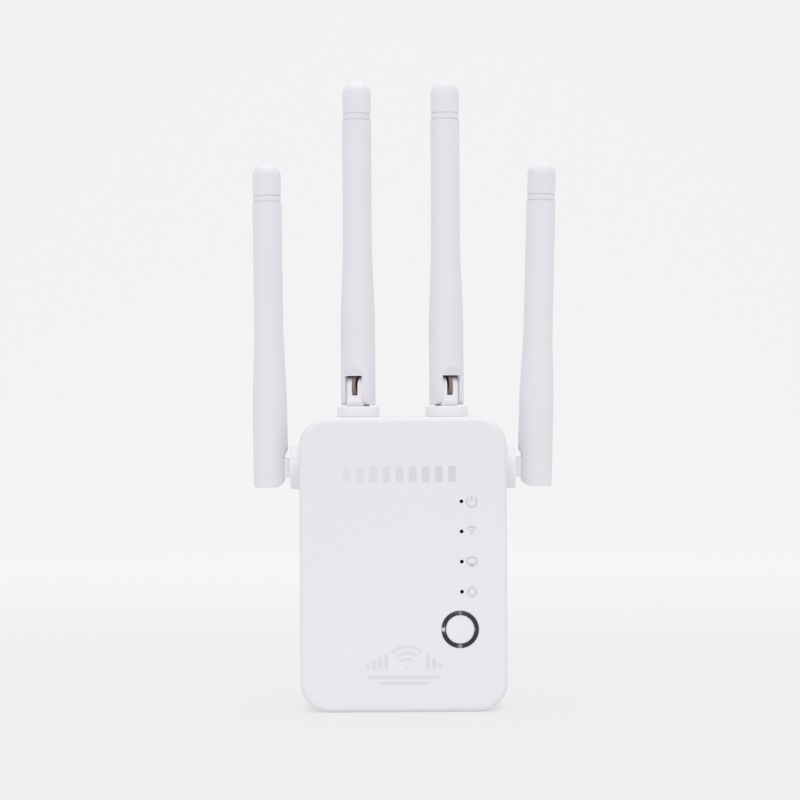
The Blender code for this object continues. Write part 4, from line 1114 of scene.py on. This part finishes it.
def make_cable(name):
    """The coax: from the board up the stem, then a bend that comes forward in the slot at the hinge."""
    hinge, fold = hinge_frame(name), fold_angle(name)
    side_in_slot = -1 if name in ("top_left", "right") else 1
    bulge, sway = 3.1 * MM, 0.41 * MM * side_in_slot
    start, end = -7.0 * MM, 14.0 * MM
    reach = 3.5 * MM
    middle = 0.7 * MM
    points = []
    steps = 42
    for i in range(steps + 1):
        height = start + (end - start) * i / steps
        near = math.exp(-(((height - middle) / reach) ** 4))
        point = Vector((sway * near, -bulge * near, height))
        share = smooth_step((height + reach) / (2 * reach))
        points.append(Matrix.Rotation(share * fold, 3, "X") @ point)
    bend = new_object(f"coax_bend_{name}", tube_mesh("bend", points, COAX_RADIUS), COAX_JACKET)
    bend.data.transform(hinge)
    finish_surface(bend)
    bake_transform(bend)
    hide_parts(f"antenna_coax_{name}")

    out = (hinge.to_3x3() @ Vector((0, 0, 1))).normalized()
    side = 1 if hinge.translation.x > 0 else -1
    pad_x, pad_z = TOP_PAD if abs(out.z) > 0.5 else SIDE_PAD
    pad = Vector((side * pad_x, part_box("main_board")[1].y + 1.4 * MM, pad_z))
    stem_length = HINGE_STANDOFF + COLLAR_HEIGHT + WALL + COLLAR_SPIGOT_REACH + 2.5 * MM
    stem_end = hinge.translation - stem_length * out
    top = hinge.translation + (start - 0.05 * MM) * out
    path = [top, *bezier(stem_end, stem_end - 6.0 * MM * out, pad + Vector((0, 5.0 * MM, 6.0 * MM)), pad)]
    stand_in(f"coax_lead_{name}", tube_mesh("lead", path, COAX_RADIUS), COAX_JACKET, "case", "coax_brown")


# ---- what is printed on the front
def stroke(points, width):
    """An outline round a line of points, width across, with square ends."""
    points = [Vector(point) for point in points]
    left, right = [], []
    for point, along in zip(points, headings(points)):
        side = Vector((-along.y, along.x)) * width / 2
        left.append(tuple(point + side))
        right.append(tuple(point - side))
    return left + right[::-1]


def arc_stroke(x, z, radius, start, end, width, steps=24):
    return stroke(arc(x, z, radius, start, end, steps), width)


def dot(x, z, radius):
    return arc(x, z, radius, 0, 345, 23)


def power_icon(x, z):
    ring = arc_stroke(x, z - 0.2 * MM, 1.72 * MM, 126, 414, ICON_LINE, 36)
    return [ring, stroke([(x, z), (x, z + 1.95 * MM)], ICON_LINE)]


def signal_icon(x, z):
    foot = z - 0.85 * MM
    arcs = [arc_stroke(x, foot, radius, 46, 134, ICON_LINE) for radius in (1.3 * MM, 2.45 * MM)]
    return [*arcs, dot(x, foot, 0.42 * MM)]


def loop_halves(points, width):
    """A closed line of points as two outlines, width across, that meet edge to edge."""
    spots, sides = [Vector(point) for point in points], []
    for i, _ in enumerate(spots):
        along = (spots[(i + 1) % len(spots)] - spots[i - 1]).normalized()
        sides.append(Vector((-along.y, along.x)) * width / 2)
    halves = []
    middle = len(spots) // 2
    for picks in (range(middle + 1), [*range(middle, len(spots)), 0]):
        near = [tuple(spots[i] + sides[i]) for i in picks]
        halves.append(near + [tuple(spots[i] - sides[i]) for i in reversed(picks)])
    return halves


def network_icon(x, z):
    outline = shifted(rounded_outline(3.1 * MM, 2.3 * MM, 0.55 * MM, 5), x, z + 0.25 * MM)
    stand = stroke([(x - 0.8 * MM, z - 1.45 * MM), (x + 0.8 * MM, z - 1.45 * MM)], ICON_LINE)
    return [*loop_halves(outline, ICON_LINE), stand]


def pairing_icon(x, z):
    return loop_halves([(x, z + 1.85 * MM), *arc(x, z - 0.2 * MM, 1.4 * MM, 125, 415, 32)], ICON_LINE)


def add_print(name, outlines, material):
    """Ink as a very thin raised layer on the front face."""
    mesh = prism_mesh(name, outlines, FRONT_Y - INK_HEIGHT, FRONT_Y + INK_HEIGHT / 2)
    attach(new_object(name, mesh, material), "case")


def make_led_hole_shades():
    """A near-black disc just below the surface of each LED hole: painted shade that keeps the hole dark."""
    for node in LED_NODES:
        spot = middle_of(node)
        radius, recess, crown = LED_HOLE_RADIUS - 0.01 * MM, 0.5 * MM, 0.1 * MM
        back = -(WALL - 0.2 * MM)
        profile = [(0.0, -recess)]
        profile += [(radius * i / 5, -recess - crown * (i / 5) ** 2) for i in range(1, 6)]
        profile += [(radius, back), (0.0, back)]
        window = facing_front(turned_mesh("window", profile, 32), spot)
        place_new(f"led_hole_shade_{node[len('led_'):]}", window, LED_HOLE_SHADE_BLACK, "case", "black_plastic")


def make_prints():
    icons = (power_icon, signal_icon, network_icon, pairing_icon)
    for node, icon in zip(LED_NODES, icons):
        spot = middle_of(node)
        add_print(f"icon_{node}", icon(spot.x + ICON_OFFSET, spot.z), ICON_INK)
    pitch = (ROW_END - ROW_START) / (ROW_BLOCKS - 1)
    block = rounded_outline(2.7 * MM, 5.6 * MM, 0.7 * MM, 6)
    row = [shifted(block, ROW_START + i * pitch, ROW_Z) for i in range(ROW_BLOCKS)]
    add_print("printed_row", row, ROW_INK_PAINTED_SHADE)
    foot = 15.4 * MM
    arcs = [arc_stroke(SIGN_X, foot, r, 45, 135, 0.9 * MM) for r in (3.0 * MM, 5.2 * MM, 7.4 * MM)]
    add_print("printed_signal", [*arcs, dot(SIGN_X, foot, 0.6 * MM)], MARK_INK)
    bars = []
    for side, heights in ((-1, (5.4, 4.4, 3.4, 2.4)), (1, (5.4, 3.9, 2.4))):
        for i, height in enumerate(heights):
            x = SIGN_X + side * (7.2 + 2.1 * i) * MM
            bars.append(shifted(pill_outline(1.3 * MM, height * MM, 6), x, foot + (height / 2 - 0.6) * MM))
    add_print("printed_bars", bars, MARK_INK)
    lines = [
        shifted(pill_outline(length, 1.0 * MM, 6), SIGN_X - 1.4 * MM, z)
        for length, z in ((25.0 * MM, 12.1 * MM), (17.0 * MM, 10.1 * MM))
    ]
    add_print("printed_lines", lines, MARK_INK)


# ---- CAD parts that stay as they are
def finish_cad_nodes():
    """The CAD's own materials give way to finished ones."""
    for material, nodes in (
        (LENS_CLEAR, LED_NODES),
        (BLACK_PLASTIC, ("wps_switch", "wps_switch_plunger", "led_light_shield", "board_header")),
        (CHIP_RESIN, ("wireless_chip", "memory_chip", "network_transformer")),
        (BOARD_GREEN, ("main_board", "power_board")),
        (CAN_ALUMINIUM, ("input_capacitor", "output_capacitor")),
        (TAPE_YELLOW, ("power_transformer",)),
        (SHELL_STEEL, ("mains_fuse",)),
        (ELEMENT_BRASS, [f"antenna_element_{name}" for name in ANTENNA_NAMES]),
    ):
        for node in nodes:
            frame["nodes"][node].data.materials.clear()
            frame["nodes"][node].data.materials.append(material)


# ---- studio
def make_floor():
    """A pale floor that sweeps up behind."""
    width, front, back, height, radius = 16.0, -8.0, 1.6, 3.2, 0.9
    points = [(front, 0.0), (back - radius, 0.0)]
    points += [(back - radius + forward, rise) for forward, rise in edge_arc(radius, 24)]
    points.append((back, height))
    bm = bmesh.new()
    rows = [[bm.verts.new((x, y, z - 0.0001)) for x in (-width / 2, width / 2)] for y, z in points]
    for first, second in zip(rows, rows[1:]):
        bm.faces.new((first[0], first[1], second[1], second[0]))
    mesh = bpy.data.meshes.new("studio_floor")
    bm.to_mesh(mesh)
    bm.free()
    mesh.shade_smooth()
    floor = new_object("studio_floor", mesh, floor_paper())
    return floor


def area_light(name, location, aim, size, energy):
    data = bpy.data.lights.new(name, "AREA")
    data.shape = "RECTANGLE"
    data.size, data.size_y = size
    data.energy = energy
    light = add_to_scene(name, data)
    light.location = location
    light.rotation_mode = "QUATERNION"
    light.rotation_quaternion = (Vector(aim) - Vector(location)).to_track_quat("-Z", "Y")
    return light


def link_light(light, piece, state):
    """Keeps a light to one piece (INCLUDE) or off it (EXCLUDE)."""
    receivers = bpy.data.collections.new(light.name)
    receivers.objects.link(piece)
    receivers.collection_objects[0].light_linking.link_state = state
    light.light_linking.receiver_collection = receivers


def ring_glint(ring, turn, distance, spread, radiance):
    """A slim card that lights only the ring, where its slope mirrors the card to the front.

    The spread in degrees sets how far the glint reaches round the ring."""
    spot = middle_of("button_ring")
    outward = Vector((round(math.cos(math.radians(turn))), 0, round(math.sin(math.radians(turn)))))
    place_on_ring = Vector((spot.x, FRONT_Y, spot.z)) + outward * (RING_OUTER_RADIUS + RING_INNER_RADIUS) / 2
    normal = Vector((0, -math.cos(RING_SLOPE), 0)) + outward * math.sin(RING_SLOPE)
    to_camera = (Vector(CAMERA_PLACE) - place_on_ring).normalized()
    mirrored = 2 * normal.dot(to_camera) * normal - to_camera
    slim, long = distance * math.radians(spread), distance * math.radians(GLINT_LENGTH)
    card = area_light(
        f"glint_{turn}",
        place_on_ring + mirrored * distance,
        place_on_ring,
        (slim, long) if outward.z else (long, slim),
        radiance * math.pi * slim * long,
    )
    card.visible_camera = False
    link_light(card, ring, "INCLUDE")


def make_lights(floor, ring):
    world = bpy.data.worlds.new("studio")
    bpy.context.scene.world = world
    world.use_nodes = True
    background = world.node_tree.nodes["Background"]
    background.inputs["Color"].default_value = (1.0, 1.0, 1.0, 1.0)
    background.inputs["Strength"].default_value = WORLD_STRENGTH
    middle = (0, 0, 0.1)
    area_light("front_soft", (0.0, -1.62, 1.28), middle, (2.2, 1.22), FRONT_POWER)
    low = area_light("low_soft", (0.0, -0.14, 0.004), (0, FRONT_Y, 0.03), (0.16, 0.01), LOW_POWER)
    low.visible_camera = low.visible_glossy = False
    link_light(low, floor, "EXCLUDE")
    behind = area_light("back_soft", (0.0, 0.4, 0.8), (0, 1.6, 0.5), (1.6, 0.6), BACK_POWER)
    behind.visible_camera = behind.visible_glossy = False
    ring_glint(ring, 180, 0.12, 5.6, GLINT_RADIANCE)
    ring_glint(ring, 90, 0.12, 3.5, 0.36 * GLINT_RADIANCE)
    ring_glint(ring, 270, 0.03, 8.0, 0.4 * GLINT_RADIANCE)
    area_light("top_soft", (0.0, 0.1, 1.9), middle, (2.2, 1.4), TOP_POWER)


def make_camera():
    data = bpy.data.cameras.new("camera")
    data.lens = 100.0
    data.sensor_width = 36.0
    camera = add_to_scene("camera", data)
    camera.location = CAMERA_PLACE
    camera.rotation_mode = "QUATERNION"
    level = Vector((0, 1, 0)).to_track_quat("-Z", "Y")
    roll = Matrix.Rotation(math.radians(CAMERA_ROLL), 4, "Y").to_quaternion()
    camera.rotation_quaternion = roll @ level
    bpy.context.scene.camera = camera
    bpy.context.scene.view_settings.view_transform = "Standard"


def main():
    make_camera()
    make_front_cover()
    make_rear_cover()
    make_plug()
    for node in SCREW_NODES:
        make_screw(node)
    ring = make_button()
    for node in SOCKET_NODES:
        make_socket(node)
    for name in ANTENNA_NAMES:
        make_collar(name)
        make_knuckle(name)
        make_sleeve(name)
        make_tube(name)
        make_cable(name)
    make_led_hole_shades()
    make_prints()
    finish_cad_nodes()
    make_lights(make_floor(), ring)


main()
